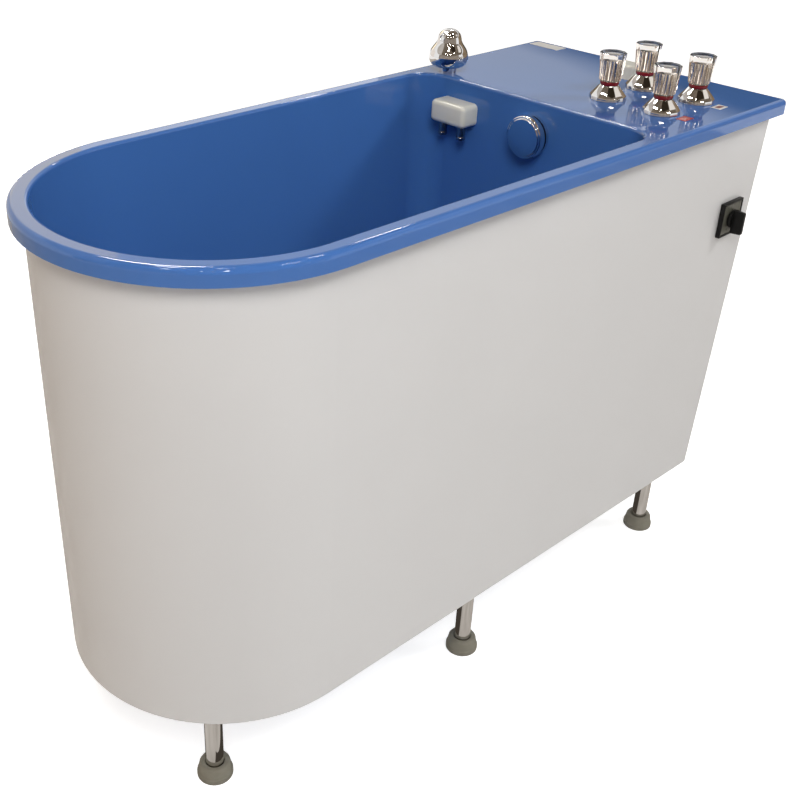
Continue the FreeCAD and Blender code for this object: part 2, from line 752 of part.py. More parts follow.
def panel_screw_places():
    """Heights along the panel and sides of the screws."""
    heights = ["S.screw_edge + %d * P.screw_pitch" % i for i in range(3)]
    return [(y, z) for y in ("-P.rail_y", "P.rail_y") for z in heights]


def make_rear_panel():
    plate = box("PanelPlate", "S.panel_wall", "2 * P.panel_half", "P.panel_length",
                "-S.panel_wall", "-P.panel_half", "0")
    holes = [rod("PanelScrewHole", "S.screw_radius + S.running_clearance", "3 * S.panel_wall",
                 "-2 * S.panel_wall", y, z, "X") for y, z in panel_screw_places()]
    for height in ("P.hot_inlet_z", "P.cold_inlet_z"):
        along = "(%s - S.ground_clearance) / cos(P.lean_angle * 1deg)" % height
        holes.append(rod("PanelPipeHole", "S.supply_radius + 2 * S.hole_clearance", "3 * S.panel_wall",
                         "-2 * S.panel_wall", "-P.tap_y", along, "X"))
    panel = cut("RearPanel", plate, holes)
    lean(panel)
    node(panel, "rear_panel")

    screws = []
    for y, z in panel_screw_places():
        shank = rod("ScrewShank", "S.screw_radius", "S.screw_length", "-S.screw_length", y, z, "X")
        head = rod("ScrewHead", "S.screw_head_radius", "S.screw_head_height", "0", y, z, "X")
        screws.append(fuse("PanelScrew", [shank, head]))
    fasteners = group("PanelScrews", screws)
    lean(fasteners)
    node(fasteners, "panel_screws")


def make_rear_posts():
    posts = []
    depth = "S.panel_wall + S.post_size"
    length = "P.panel_length - P.post_start - S.rail_wall"
    bore = "S.post_size - 2 * S.rail_wall"
    for side in ("-", ""):
        low = side + "P.rail_y - S.post_size / 2"
        outer = box("PostOut", "S.post_size", "S.post_size", length, "-(%s)" % depth, low, "P.post_start")
        inner = box("PostIn", bore, bore, length, "-(%s) + S.rail_wall" % depth,
                    low + " + S.rail_wall", "P.post_start")
        holes = [rod("PostHole", "S.screw_radius", "2 * S.rail_wall",
                     "-S.panel_wall - 2 * S.rail_wall", y, z, "X")
                 for y, z in panel_screw_places() if y == side + "P.rail_y"]
        posts.append(cut("RearPost", outer, [inner] + holes))
    pair = group("RearPosts", posts)
    lean(pair)
    node(pair, "rear_posts")


def make_frame():
    half = "S.rail_size / 2"
    for label, y in (("near_side_rail", "-P.rail_y"), ("far_side_rail", "P.rail_y")):
        rail = square_tube("SideRail", "X", "P.rail_rear + P.rail_front", "-P.rail_front",
                           y + " - " + half, "P.rail_bottom")
        place(rail)
        node(rail, label)
    inside = "P.rail_y - " + half
    cross = [square_tube("CrossRail", "Y", "2 * (%s)" % inside, x + " - " + half,
                         "-(%s)" % inside, "P.rail_bottom")
             for x in ("-P.front_rail_x", "-S.middle_leg_x", "P.rear_leg_x")]
    rails = group("CrossRails", cross)
    place(rails)
    node(rails, "cross_rails")
    arms = [square_tube("LegArm", "X", "P.front_leg_x + S.arm_overhang - P.rail_front",
                        "-P.front_leg_x - S.arm_overhang", y + " - " + half, "P.rail_bottom")
            for y in ("-P.front_leg_y", "P.front_leg_y")]
    pair = group("LegArms", arms)
    place(pair)
    node(pair, "leg_arms")


def leg_places():
    return {"front_near": ("-P.front_leg_x", "-P.front_leg_y"),
            "front_far": ("-P.front_leg_x", "P.front_leg_y"),
            "middle_near": ("-S.middle_leg_x", "-P.rail_y"),
            "middle_far": ("-S.middle_leg_x", "P.rail_y"),
            "rear_near": ("P.rear_leg_x", "-P.rail_y"),
            "rear_far": ("P.rear_leg_x", "P.rail_y")}


def make_legs():
    collars = []
    for name, (x, y) in leg_places().items():
        length = "P.rail_bottom - P.leg_bottom"
        outer = rod("LegOut", "S.leg_radius", length)
        bore = rod("LegIn", "S.leg_radius - S.leg_wall", length)
        leg = cut("Leg", outer, [bore])
        place(leg, x, y, "P.leg_bottom")
        node(leg, name + "_leg")

        guide = "S.stem_radius + S.running_clearance"
        plug_radius, plug_top = "S.leg_radius - S.leg_wall", "S.collar_floor + S.collar_plug"
        collar = revolved("Collar", [
            (guide, "0"), ("S.leg_radius", "0"), ("S.leg_radius", "S.collar_floor"),
            (plug_radius, "S.collar_floor"), (plug_radius, plug_top), (guide, plug_top)])
        place(collar, x, y, "P.collar_bottom")
        collars.append(collar)

        foot = revolved("Foot", [
            ("0", "0"), ("S.foot_radius", "0"), ("S.foot_radius", "S.foot_edge"),
            ("S.foot_top_radius", "S.foot_height"), ("S.foot_recess_radius", "S.foot_height"),
            ("S.foot_recess_radius", "P.foot_seat"), ("S.stem_radius", "P.foot_seat"),
            ("S.stem_radius", "S.foot_height + S.stem_length"), ("0", "S.foot_height + S.stem_length")])
        place(foot, x, y, "0")
        node(foot, name + "_foot")
    node(group("LegCollars", collars), "leg_collars")


def make_taps():
    rings, valves, nuts = [], [], []
    bore = "S.spindle_radius + S.running_clearance"
    for name, (x, y) in tap_places().items():
        bell = revolved("TapBell", [
            ("S.bell_radius - S.bell_wall", "0"), ("S.bell_radius", "0"), ("S.bell_radius", "S.bell_band"),
            ("S.bell_waist_radius", "S.bell_waist_height"), ("S.bell_neck_radius", "S.bell_height"),
            (bore, "S.bell_height"), (bore, "S.bell_height - S.bell_wall"),
            ("S.bell_neck_radius - S.bell_wall", "S.bell_height - S.bell_wall"),
            ("S.bell_waist_radius - S.bell_wall", "S.bell_waist_height - S.bell_wall / 2"),
            ("S.bell_radius - S.bell_wall", "S.bell_band - S.bell_wall / 2")])
        place(bell, x, y, "S.overall_height")
        node(bell, name + "_bell")

        handle = revolved("TapHandle", [
            ("S.core_radius", "0"), ("S.handle_low_radius", "0"),
            ("S.handle_top_radius", "S.handle_height - S.handle_bevel"),
            ("S.handle_top_radius - S.handle_bevel", "S.handle_height"), ("0", "S.handle_height"),
            ("0", "S.core_height"), ("S.core_radius", "S.core_height")])
        place(handle, x, y, "S.overall_height + P.handle_base")
        node(handle, name + "_handle")

        core_base = "S.spindle_depth + P.handle_base"
        spindle = revolved("TapSpindle", [
            ("0", "0"), ("S.spindle_radius", "0"), ("S.spindle_radius", core_base),
            ("S.core_radius", core_base), ("S.core_radius", core_base + " + S.core_height"),
            ("0", core_base + " + S.core_height")])
        place(spindle, x, y, "S.overall_height - S.spindle_depth")
        node(spindle, name + "_spindle")

        ring = cut("TapRing", rod("RingOut", "S.ring_radius", "S.ring_height"),
                   [rod("RingIn", "S.spindle_radius + S.hole_clearance", "S.ring_height")])
        place(ring, x, y, "S.overall_height + S.bell_height")
        rings.append(ring)

        shoulder = "S.valve_depth - S.shell_wall - S.nut_height"
        neck_top = "S.valve_depth + S.valve_neck_rise"
        bore_floor = "S.valve_depth - S.spindle_depth - S.bell_wall"
        valve = revolved("TapValve", [
            ("0", "0"), ("S.valve_radius", "0"), ("S.valve_radius", shoulder),
            ("S.valve_neck_radius", shoulder), ("S.valve_neck_radius", neck_top),
            (bore, neck_top), (bore, bore_floor), ("0", bore_floor)])
        place(valve, x, y, "S.overall_height - S.valve_depth")
        valves.append(valve)

        hexagon = doc.addObject("Part::Prism", "NutOut")
        hexagon.Polygon = 6
        bind(hexagon, "Circumradius", "S.nut_radius")
        bind(hexagon, "Height", "S.nut_height")
        nut = cut("ValveNut", hexagon, [rod("NutIn", "S.valve_neck_radius", "S.nut_height")])
        place(nut, x, y, "P.deck_under - S.nut_height")
        nuts.append(nut)
    node(group("TapRings", rings), "tap_rings")
    node(group("TapValves", valves), "tap_valve_bodies")
    node(group("TapNuts", nuts), "tap_valve_nuts")


def make_hand_shower():
    bulb = doc.addObject("Part::Ellipsoid", "ShowerBulb")
    bind(bulb, "Radius1", "S.shower_bulb_height / 2")
    bind(bulb, "Radius2", "S.shower_bulb_radius")
    bind(bulb, "Placement.Base.z", "P.bulb_middle")
    ball = doc.addObject("Part::Sphere", "ShowerBall")
    bind(ball, "Radius", "S.shower_ball_radius")
    bind(ball, "Placement.Base.z", "S.shower_height - S.shower_ball_radius")
    # the shoulder leaves the bulb half way up, where the bulb is still wide
    shoulder = doc.addObject("Part::Cone", "ShowerShoulder")
    bind(shoulder, "Radius1", "S.shower_bulb_radius * sqrt(3) / 2")
    bind(shoulder, "Radius2", "S.shower_ball_radius")
    bind(shoulder, "Height",
         "S.shower_height - S.shower_ball_radius - P.bulb_middle - S.shower_bulb_height / 4")
    bind(shoulder, "Placement.Base.z", "P.bulb_middle + S.shower_bulb_height / 4")
    stem = rod("ShowerStem", "S.shower_stem_radius", "S.shower_stem_depth + P.bulb_middle",
               z="-S.shower_stem_depth")
    shower = fuse("HandShower", [bulb, shoulder, ball, stem])
    place(shower, "P.shower_x", "P.shower_y", "S.overall_height")
    node(shower, "hand_shower")

    bore = "S.shower_stem_radius + S.running_clearance"
    sleeve = "S.shower_stem_radius + S.socket_wall"
    top = "S.socket_depth + S.socket_height"
    socket = revolved("ShowerSocket", [
        (bore, "0"), (sleeve, "0"), (sleeve, "S.socket_depth"), ("S.socket_radius", "S.socket_depth"),
        ("S.socket_radius", top), (bore, top)])
    place(socket, "P.shower_x", "P.shower_y", "S.overall_height - S.socket_depth")
    node(socket, "shower_socket")


def make_inlet():
    body = new_body("InletHousing")
    side = new_sketch(body, "XZ_Plane")
    top = "P.inlet_bottom + S.inlet_height"
    draw_polygon(side, [("P.inlet_front", "P.inlet_bottom"), ("P.wall_seat", "P.inlet_bottom"),
                        ("P.wall_seat", top), ("P.inlet_front", top)])
    pad(body, side, "S.inlet_width", both_sides=True)
    back = number("P.wall_seat")
    round_edges(body, lambda e: e.BoundBox.XMin < back - 0.01, "S.inlet_edge_radius")
    place(body, "0", "P.inlet_y", "0")
    node(body, "inlet_housing")

    nozzles = []
    for y in ("P.pump_y", "P.nozzle_far"):
        nozzle = cut("InletNozzle", rod("NozzleOut", "S.nozzle_radius", "S.nozzle_length"),
                     [rod("NozzleIn", "S.nozzle_bore", "S.nozzle_length")])
        place(nozzle, "P.inlet_front + S.inlet_reach / 2", y, "P.inlet_bottom - S.nozzle_length")
        nozzles.append(nozzle)
    node(group("InletNozzles", nozzles), "inlet_nozzles")


def face_basin(obj, x, y, z):
    """Turn a round piece so that its own Z axis points from the end wall into the basin."""
    obj.Placement = Placement(Vector(), Rotation(Vector(0, 1, 0), -90))
    place(obj, x, y, z)


def make_waste():
    wall_end = "S.overflow_chamber_length + S.shell_wall + S.seal_gap"
    rim_end = wall_end + " + S.rosette_height"
    bore = "S.knob_shaft_radius + S.running_clearance"
    bore_floor = rim_end + " - S.knob_shaft_length - S.knob_stand_off"
    overflow = revolved("OverflowBody", [
        ("0", "0"), ("S.overflow_chamber_radius", "0"),
        ("S.overflow_chamber_radius", "S.overflow_chamber_length"),
        ("S.overflow_neck_radius", "S.overflow_chamber_length"), ("S.overflow_neck_radius", wall_end),
        ("S.rosette_radius", wall_end), ("S.rosette_radius", rim_end), (bore, rim_end), (bore, bore_floor),
        ("0", bore_floor)])
    face_basin(overflow, "P.end_wall_back + S.overflow_chamber_length", "-S.overflow_y", "P.overflow_z")
    node(overflow, "overflow_body")

    disc = "S.knob_shaft_length + S.knob_stand_off"
    knob = revolved("WasteKnob", [
        ("0", "0"), ("S.knob_shaft_radius", "0"), ("S.knob_shaft_radius", disc), ("S.knob_radius", disc),
        ("S.knob_radius", disc + " + S.knob_height - S.knob_bevel"),
        ("S.knob_radius - S.knob_bevel", disc + " + S.knob_height"), ("0", disc + " + S.knob_height")])
    face_basin(knob, "P.rosette_front + S.knob_shaft_length", "-S.overflow_y", "P.overflow_z")
    node(knob, "waste_knob")

    # a flanged tail with a bar across it, which guides the plug's stem
    lip = "S.waste_tail_length + S.waste_flange_height"
    ring = revolved("WasteRing", [
        ("S.waste_mouth_radius", "0"), ("S.waste_tail_radius", "0"),
        ("S.waste_tail_radius", "S.waste_tail_length"), ("S.waste_flange_radius", "S.waste_tail_length"),
        ("S.waste_flange_radius", lip), ("S.waste_mouth_radius", lip)])
    bar = box("WasteBar", "S.waste_mouth_radius + S.waste_tail_radius", "S.waste_bar_width",
              "S.waste_bar_height", "-(S.waste_mouth_radius + S.waste_tail_radius) / 2",
              "-S.waste_bar_width / 2", "S.waste_bar_rise")
    guide = rod("WasteGuide", "S.plug_stem_radius + S.running_clearance", lip)
    flange = cut("WasteFlange", fuse("WasteBlank", [ring, bar]), [guide])
    place(flange, "P.waste_x", "-S.overflow_y", "P.floor_z - S.waste_tail_length")
    node(flange, "waste_flange")

    plug = revolved("WastePlug", [
        ("0", "0"), ("S.plug_stem_radius", "0"), ("S.plug_stem_radius", "S.plug_stem_length"),
        ("S.plug_radius", "S.plug_stem_length"), ("S.plug_radius", "S.plug_stem_length + S.plug_height"),
        ("0", "S.plug_stem_length + S.plug_height")])
    place(plug, "P.waste_x", "-S.overflow_y",
          "P.floor_z + S.waste_flange_height + S.lift_gap - S.plug_stem_length")
    node(plug, "waste_plug")


def make_pipework():
    def at(x, y, z):
        return Vector(x, y, z)

    side = -number("S.overflow_y")
    run, drop = number("P.waste_run_z"), number("P.waste_outlet_x")
    waste_x, stack_x = number("P.waste_x"), number("P.overflow_pipe_x")
    tail = number("P.floor_z") - number("S.waste_tail_length")
    stack_top = number("P.overflow_z") - number("S.overflow_chamber_radius")
    hollow_pipe("waste_pipe", [
        ([at(waste_x, side, tail), at(waste_x, side, run), at(drop, side, run),
          at(drop, side, number("P.waste_outlet_z"))], number("S.waste_pipe_radius")),
        ([at(stack_x, side, stack_top), at(stack_x, side, run)], number("S.overflow_pipe_radius"))])

    middle, end = -number("P.tap_y"), number("P.supply_end_x")
    tail_start = number("P.supply_tail_x")
    high, thin = number("P.branch_z"), number("S.branch_radius")
    reach = number("S.tap_spacing") / 2 - number("S.valve_radius")
    for label, x, inlet in (("hot_supply_pipe", "P.tap_front", "P.hot_inlet_z"),
                            ("cold_supply_pipe", "P.tap_rear", "P.cold_inlet_z")):
        x, low = number(x), number(inlet)
        hollow_pipe(label, [
            ([at(x, middle, high), at(x, middle, low), at(tail_start, middle, low)],
             number("S.supply_radius")),
            ([at(tail_start - number("S.pipe_wall"), middle, low), at(end, middle, low)],
             number("S.supply_tail_radius")),
            ([at(x, middle - reach, high), at(x, middle + reach, high)], thin)])

    level, start, wall = number("P.outlet_pipe_z"), number("P.outlet_reach"), number("P.basin_end")
    inner, outer = -number("P.tap_inner"), -number("P.tap_outer")
    fill_x, far = number("P.fill_run_x"), number("P.nozzle_far")
    hollow_pipe("fill_pipe", [([at(start, inner, level), at(fill_x, inner, level), at(fill_x, far, level),
                                at(wall, far, level)], thin)])
    shower_x = number("P.shower_run_x")
    hollow_pipe("shower_pipe", [([at(start, outer, level), at(shower_x, outer, level),
                                  at(shower_x, number("P.shower_run_end"), level)], thin)])
    up_x, pump_y, inlet = number("P.delivery_x"), number("P.pump_y"), number("P.inlet_z")
    outlet = number("P.pump_z") + number("S.volute_outlet_height")
    hollow_pipe("delivery_pipe", [([at(up_x, pump_y, outlet), at(up_x, pump_y, inlet),
                                    at(wall, pump_y, inlet)], number("S.delivery_radius"))])


def make_pump():
    back = "P.volute_x - P.wall_seat"
    front = back + " + S.strainer_height"
    strainer = revolved("SuctionStrainer", [
        ("S.strainer_bore", "0"), ("S.strainer_tail_radius", "0"), ("S.strainer_tail_radius", back),
        ("S.strainer_radius", back), ("S.strainer_radius", front), ("0", front),
        ("0", front + " - S.strainer_face"), ("S.strainer_bore", front + " - S.strainer_face")])
    slots = new_sketch(strainer, "XY_Plane", front)
    draw_circle(slots, "S.strainer_hole_radius", "0", "0")
    for x, y in (("S.strainer_hole_circle", "0"), ("-S.strainer_hole_circle", "0"),
                 ("0", "S.strainer_hole_circle"), ("0", "-S.strainer_hole_circle")):
        draw_circle(slots, "S.strainer_hole_radius", x, y)
    pocket(strainer, slots, "S.strainer_face")
    face_basin(strainer, "P.volute_x", "P.pump_y", "P.pump_z")
    node(strainer, "suction_strainer")

    drum = rod("VoluteDrum", "S.volute_radius", "S.volute_length",
               "P.volute_x", "P.pump_y", "P.pump_z", "X")
    spout = rod("VoluteSpout", "S.volute_outlet_radius", "S.volute_outlet_height",
                "P.delivery_x", "P.pump_y", "P.pump_z")
    eye = rod("VoluteEye", "S.strainer_bore", "S.volute_bore_depth",
              "P.volute_x", "P.pump_y", "P.pump_z", "X")
    throat = rod("VoluteThroat", "S.delivery_radius - S.pipe_wall", "S.volute_outlet_height",
                 "P.delivery_x", "P.pump_y", "P.pump_z")
    housing = cut("PumpHousing", fuse("VoluteBlank", [drum, spout]), [eye, throat])
    place(housing)
    node(housing, "pump_housing")

    can = rod("MotorCan", "S.motor_radius", "P.motor_length", "P.motor_x",
              "P.pump_y", "P.pump_z", "X")
    foot = box("MotorFoot", "S.motor_foot", "S.motor_foot", "P.pump_z - S.motor_radius / 2 - P.floor_under",
               "P.rear_leg_x - S.motor_foot / 2", "P.pump_y - S.motor_foot / 2", "P.floor_under")
    motor = fuse("PumpMotor", [can, foot])
    place(motor)
    node(motor, "pump_motor")


def make_switch():
    half = "S.switch_plate_size / 2"
    plate = new_body("SwitchPlate")
    face = new_sketch(plate, "XZ_Plane", "P.switch_wall")
    west, east = "P.switch_x - " + half, "P.switch_x + " + half
    low, high = "P.switch_z - " + half, "P.switch_z + " + half
    draw_polygon(face, [(west, low), (east, low), (east, high), (west, high)])
    pad(plate, face, "S.switch_plate_depth")
    depth = number("S.switch_plate_depth")
    round_edges(plate, lambda e: abs(e.BoundBox.YLength - depth) < 0.01, "S.switch_plate_edge")
    hole = new_sketch(plate, "XZ_Plane", "P.switch_wall + S.switch_plate_depth")
    draw_circle(hole, "S.switch_shaft_radius + S.running_clearance", "P.switch_x", "P.switch_z")
    pocket(plate, hole)
    place(plate)
    node(plate, "switch_plate")

    boss = rod("SwitchBoss", "S.switch_boss_radius", "S.switch_boss_depth", "P.switch_x",
               "-P.switch_face - S.switch_boss_depth", "P.switch_z", "Y")
    bar = box("SwitchBar", "S.switch_bar_width", "S.switch_bar_depth", "S.switch_bar_height",
              "P.switch_x - S.switch_bar_width / 2", "-P.switch_reach",
              "P.switch_z - S.switch_bar_drop - S.switch_bar_height / 2")
    shaft = rod("SwitchShaft", "S.switch_shaft_radius", "S.switch_shaft_length", "P.switch_x",
                "-P.switch_face", "P.switch_z", "Y")
    knob = fuse("SwitchKnob", [boss, bar, shaft])
    place(knob)
    node(knob, "switch_knob")

    block = box("SwitchBlock", "S.switch_body_size", "S.switch_body_depth", "S.switch_body_size",
                "P.switch_x - S.switch_body_size / 2", "-P.switch_inner",
                "P.switch_z - S.switch_body_size / 2")
    bore = rod("SwitchBore", "S.switch_shaft_radius + S.running_clearance", "S.switch_shaft_length",
               "P.switch_x", "-P.switch_face + S.hole_clearance", "P.switch_z", "Y")
    body = cut("SwitchBody", block, [bore])
    place(body)
    node(body, "switch_body")


def make_deck_trim():
    cap = new_body("VentCap")
    base = new_sketch(cap, "XY_Plane")
    draw_polygon(base, [("0", "0"), ("S.vent_length", "0"), ("S.vent_length", "S.vent_width"),
                        ("0", "S.vent_width")])
    pad(cap, base, "S.vent_height")
    round_edges(cap, lambda e: e.BoundBox.ZMax > 0.01, "S.vent_edge_radius")
    stub = new_sketch(cap, "XY_Plane")
    draw_circle(stub, "S.vent_stub_radius", "S.vent_length / 2", "S.vent_width / 2")
    tail = pad(cap, stub, "S.vent_stub_length")
    tail.Reversed = True
    place(cap, "P.vent_x - S.vent_length / 2", "-S.vent_y - S.vent_width / 2", "S.overall_height")
    node(cap, "vent_cap")

    labels = [box("IndexPlate", "S.index_plate_length", "S.index_plate_width", "S.plate_thickness",
                  x + " - S.index_plate_length / 2",
                  "-P.tap_outer - S.index_plate_offset - S.index_plate_width / 2", "S.overall_height")
              for x in ("P.tap_front", "P.tap_rear")]
    pair = group("IndexPlates", labels)
    place(pair)
    node(pair, "tap_index_plates")

    rating = box("RatingPlate", "S.rating_plate_length", "S.rating_plate_width", "S.plate_thickness")
    place(rating, "P.rim_rear - S.rating_plate_edge - S.rating_plate_length",
          "P.rim_half - S.rating_plate_edge - S.rating_plate_width", "S.overall_height")
    node(rating, "rating_plate")


def export_nodes():
    doc.recompute()
    for obj in doc.Objects:
        if "Invalid" in obj.State or "Error" in obj.State:
            raise RuntimeError("%s failed: %s" % (obj.Name, obj.State))
    os.makedirs("parts", exist_ok=True)
    for obj in nodes:
        shape = obj.Shape
        if shape.isNull() or not shape.isValid() or not shape.Solids:
            raise RuntimeError("%s has no sound solid" % obj.Label)
        shape.exportStep("parts/%s.step" % obj.Label)
    print("%d nodes written" % len(nodes))


fill_sheet()
make_tub_shell()
make_casing_wrap()
make_rear_panel()
make_rear_posts()
make_frame()
make_legs()
make_taps()
make_hand_shower()
make_inlet()
make_waste()
make_pipework()
make_pump()
make_switch()
make_deck_trim()
export_nodes()
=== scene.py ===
import json
import math

import bpy
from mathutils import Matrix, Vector


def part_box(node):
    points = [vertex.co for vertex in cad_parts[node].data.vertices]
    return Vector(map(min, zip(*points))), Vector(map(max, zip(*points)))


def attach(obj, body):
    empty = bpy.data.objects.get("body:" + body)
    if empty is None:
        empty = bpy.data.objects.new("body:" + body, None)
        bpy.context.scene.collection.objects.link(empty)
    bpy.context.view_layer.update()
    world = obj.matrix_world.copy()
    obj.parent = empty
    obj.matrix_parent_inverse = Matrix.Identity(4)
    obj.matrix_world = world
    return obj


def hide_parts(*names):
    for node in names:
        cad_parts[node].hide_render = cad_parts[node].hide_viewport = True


# Hydrotherapy leg tub: looks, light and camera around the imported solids, in metres.
# +X points to the deck with the taps, -Y to the side with the switch, +Z up.

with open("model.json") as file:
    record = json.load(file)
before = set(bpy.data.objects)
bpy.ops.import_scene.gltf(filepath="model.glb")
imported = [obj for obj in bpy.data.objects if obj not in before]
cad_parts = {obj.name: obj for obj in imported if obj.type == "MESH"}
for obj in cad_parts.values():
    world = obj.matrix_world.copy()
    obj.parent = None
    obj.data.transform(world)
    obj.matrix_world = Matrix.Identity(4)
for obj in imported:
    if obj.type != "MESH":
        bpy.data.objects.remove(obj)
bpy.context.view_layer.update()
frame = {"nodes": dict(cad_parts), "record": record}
nodes = frame["nodes"]

TAPS = ("front_inner_tap", "rear_inner_tap", "front_outer_tap", "rear_outer_tap")
LEGS = ("front_near", "front_far", "middle_near", "middle_far", "rear_near", "rear_far")

UP = Vector((0, 0, 1))
NEAR = Vector((0, -1, 0))
FAR = Vector((0, 1, 0))
ALIGNED = 0.9
SEAM_GAP = 0.00002
FINE_STEPS = 48
PLAIN_STEPS = 24


# Bench work: small helpers that every modelled piece uses

def clear_bench():
    """Go to object mode with nothing selected, so that an operator meets one piece only."""
    if bpy.context.object and bpy.context.object.mode == "EDIT":
        bpy.ops.object.mode_set(mode="OBJECT")
    bpy.ops.object.select_all(action="DESELECT")


def pick(piece):
    clear_bench()
    piece.select_set(True)
    bpy.context.view_layer.objects.active = piece


def blank(name):
    """Name the primitive that was just added and open it for editing, with nothing selected."""
    bpy.ops.object.transform_apply(location=True, rotation=True, scale=True)
    piece = bpy.context.object
    piece.name = name
    piece.data.name = name
    bpy.ops.object.mode_set(mode="EDIT")
    bpy.ops.mesh.select_all(action="DESELECT")
    return piece


def block(name, low, high):
    """Open a block that fills the box between two corners."""
    clear_bench()
    bpy.ops.mesh.primitive_cube_add(size=1, location=(low + high) / 2, scale=high - low)
    return blank(name)


def pillar(name, sides, radius, height, foot=0.0):
    """Open an upright block with many flat sides that stands on the axis, from the foot's height up."""
    clear_bench()
    bpy.ops.mesh.primitive_cylinder_add(vertices=sides, radius=radius, depth=height,
                                        location=(0, 0, foot + height / 2))
    return blank(name)


def choose_faces(direction):
    """Select the faces of the open piece that look in a direction."""
    bpy.ops.mesh.select_mode(type="FACE")
    bpy.ops.mesh.select_all(action="DESELECT")
    bpy.ops.object.mode_set(mode="OBJECT")
    for face in bpy.context.object.data.polygons:
        face.select = face.normal.dot(direction) > ALIGNED
    bpy.ops.object.mode_set(mode="EDIT")


def choose_edges(test):
    """Select the edges of the open piece whose two ends pass the test."""
    bpy.ops.mesh.select_mode(type="EDGE")
    bpy.ops.mesh.select_all(action="DESELECT")
    bpy.ops.object.mode_set(mode="OBJECT")
    mesh = bpy.context.object.data
    for edge in mesh.edges:
        a, b = [mesh.vertices[i].co for i in edge.vertices]
        edge.select = test(a, b)
    bpy.ops.object.mode_set(mode="EDIT")


def close_seams():
    """Merge doubled points of the open piece, turn its faces outwards and leave edit mode."""
    bpy.ops.mesh.select_all(action="SELECT")
    bpy.ops.mesh.remove_doubles(threshold=SEAM_GAP)
    bpy.ops.mesh.normals_make_consistent(inside=False)
    bpy.ops.object.mode_set(mode="OBJECT")


def turn_on_lathe(name, outline, steps):
    """Draw half an outline of (radius, height) points and spin it round the upright axis."""
    clear_bench()
    bpy.ops.mesh.primitive_plane_add(size=0.01, location=(0, 0, 0))
    piece = blank(name)
    bpy.ops.mesh.select_mode(type="VERT")
    bpy.ops.mesh.select_all(action="SELECT")
    bpy.ops.mesh.merge(type="CENTER")
    bpy.ops.mesh.select_all(action="SELECT")
    bpy.ops.transform.translate(value=(outline[0][0], 0, outline[0][1]))
    for (r0, z0), (r1, z1) in zip(outline, outline[1:]):
        bpy.ops.mesh.extrude_region_move(TRANSFORM_OT_translate={"value": (r1 - r0, 0, z1 - z0)})
    bpy.ops.mesh.select_all(action="SELECT")
    bpy.ops.mesh.spin(steps=steps, angle=2 * math.pi, center=(0, 0, 0), axis=(0, 0, 1))
    close_seams()
    return piece


def soften(piece, width, segments=3, angle=30):
    """Round the sharp edges a little, as a mould or a polisher does."""
    pick(piece)
    bevel = piece.modifiers.new("Soft edges", "BEVEL")
    bevel.limit_method = "ANGLE"
    bevel.angle_limit = math.radians(angle)
    bevel.width = width
    bevel.segments = segments
    bpy.ops.object.modifier_apply(modifier=bevel.name)
    bpy.ops.object.shade_smooth_by_angle(angle=math.radians(angle))


def smooth_over(piece, levels):
    pick(piece)
    surface = piece.modifiers.new("Smooth form", "SUBSURF")
    surface.levels = levels
    surface.render_levels = levels
    bpy.ops.object.modifier_apply(modifier=surface.name)
    bpy.ops.object.shade_smooth()


def tip_over(piece, degrees):
    """Turn a piece's mesh about the Y axis, from upright towards +X."""
    pick(piece)
    bpy.ops.object.mode_set(mode="EDIT")
    bpy.ops.mesh.select_all(action="SELECT")
    bpy.ops.transform.rotate(value=math.radians(degrees), orient_axis="Y", center_override=(0, 0, 0))
    bpy.ops.object.mode_set(mode="OBJECT")


def joined(pieces):
    clear_bench()
    for piece in pieces:
        piece.select_set(True)
    bpy.context.view_layer.objects.active = pieces[0]
    bpy.ops.object.join()
    return bpy.context.object


def set_down(piece, spot):
    """Move a piece to its spot and put the move into its mesh."""
    pick(piece)
    bpy.ops.transform.translate(value=spot)
    bpy.ops.object.transform_apply(location=True, rotation=True, scale=True)


def copies(piece, names):
    """The piece itself and further copies of it, each with its own mesh."""
    made = [piece]
    for _ in names[1:]:
        pick(piece)
        bpy.ops.object.duplicate(linked=False)
        made.append(bpy.context.object)
    for each, name in zip(made, names):
        each.name = name
        each.data.name = name
    return made


def middle_of(node):
    low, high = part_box(node)
    return (low + high) / 2


def base_of(node):
    """Middle of a node's underside."""
    middle = middle_of(node)
    return Vector((middle.x, middle.y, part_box(node)[0].z))


def paint(piece, finish):
    piece.data.materials.clear()
    piece.data.materials.append(finish)


def paint_chosen(piece, finish):
    """Give the selected faces of the open piece a finish of their own."""
    piece.data.materials.append(finish)
    piece.active_material_index = len(piece.material_slots) - 1
    bpy.ops.object.material_slot_assign()


def mount(piece, body, node):
    """Hang a finished piece on its body, in place of the node that it stands for."""
    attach(piece, body)
    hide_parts(node)


# Effects that several finishes share

def new_group(name, inputs, outputs):
    group = bpy.data.node_groups.new(name, "ShaderNodeTree")
    for socket, kind, value in inputs:
        made = group.interface.new_socket(socket, in_out="INPUT", socket_type="NodeSocket" + kind)
        if value is not None:
            made.default_value = value
    for socket, kind in outputs:
        group.interface.new_socket(socket, in_out="OUTPUT", socket_type="NodeSocket" + kind)
    entry = group.nodes.new("NodeGroupInput")
    leave = group.nodes.new("NodeGroupOutput")
    return group, entry, leave


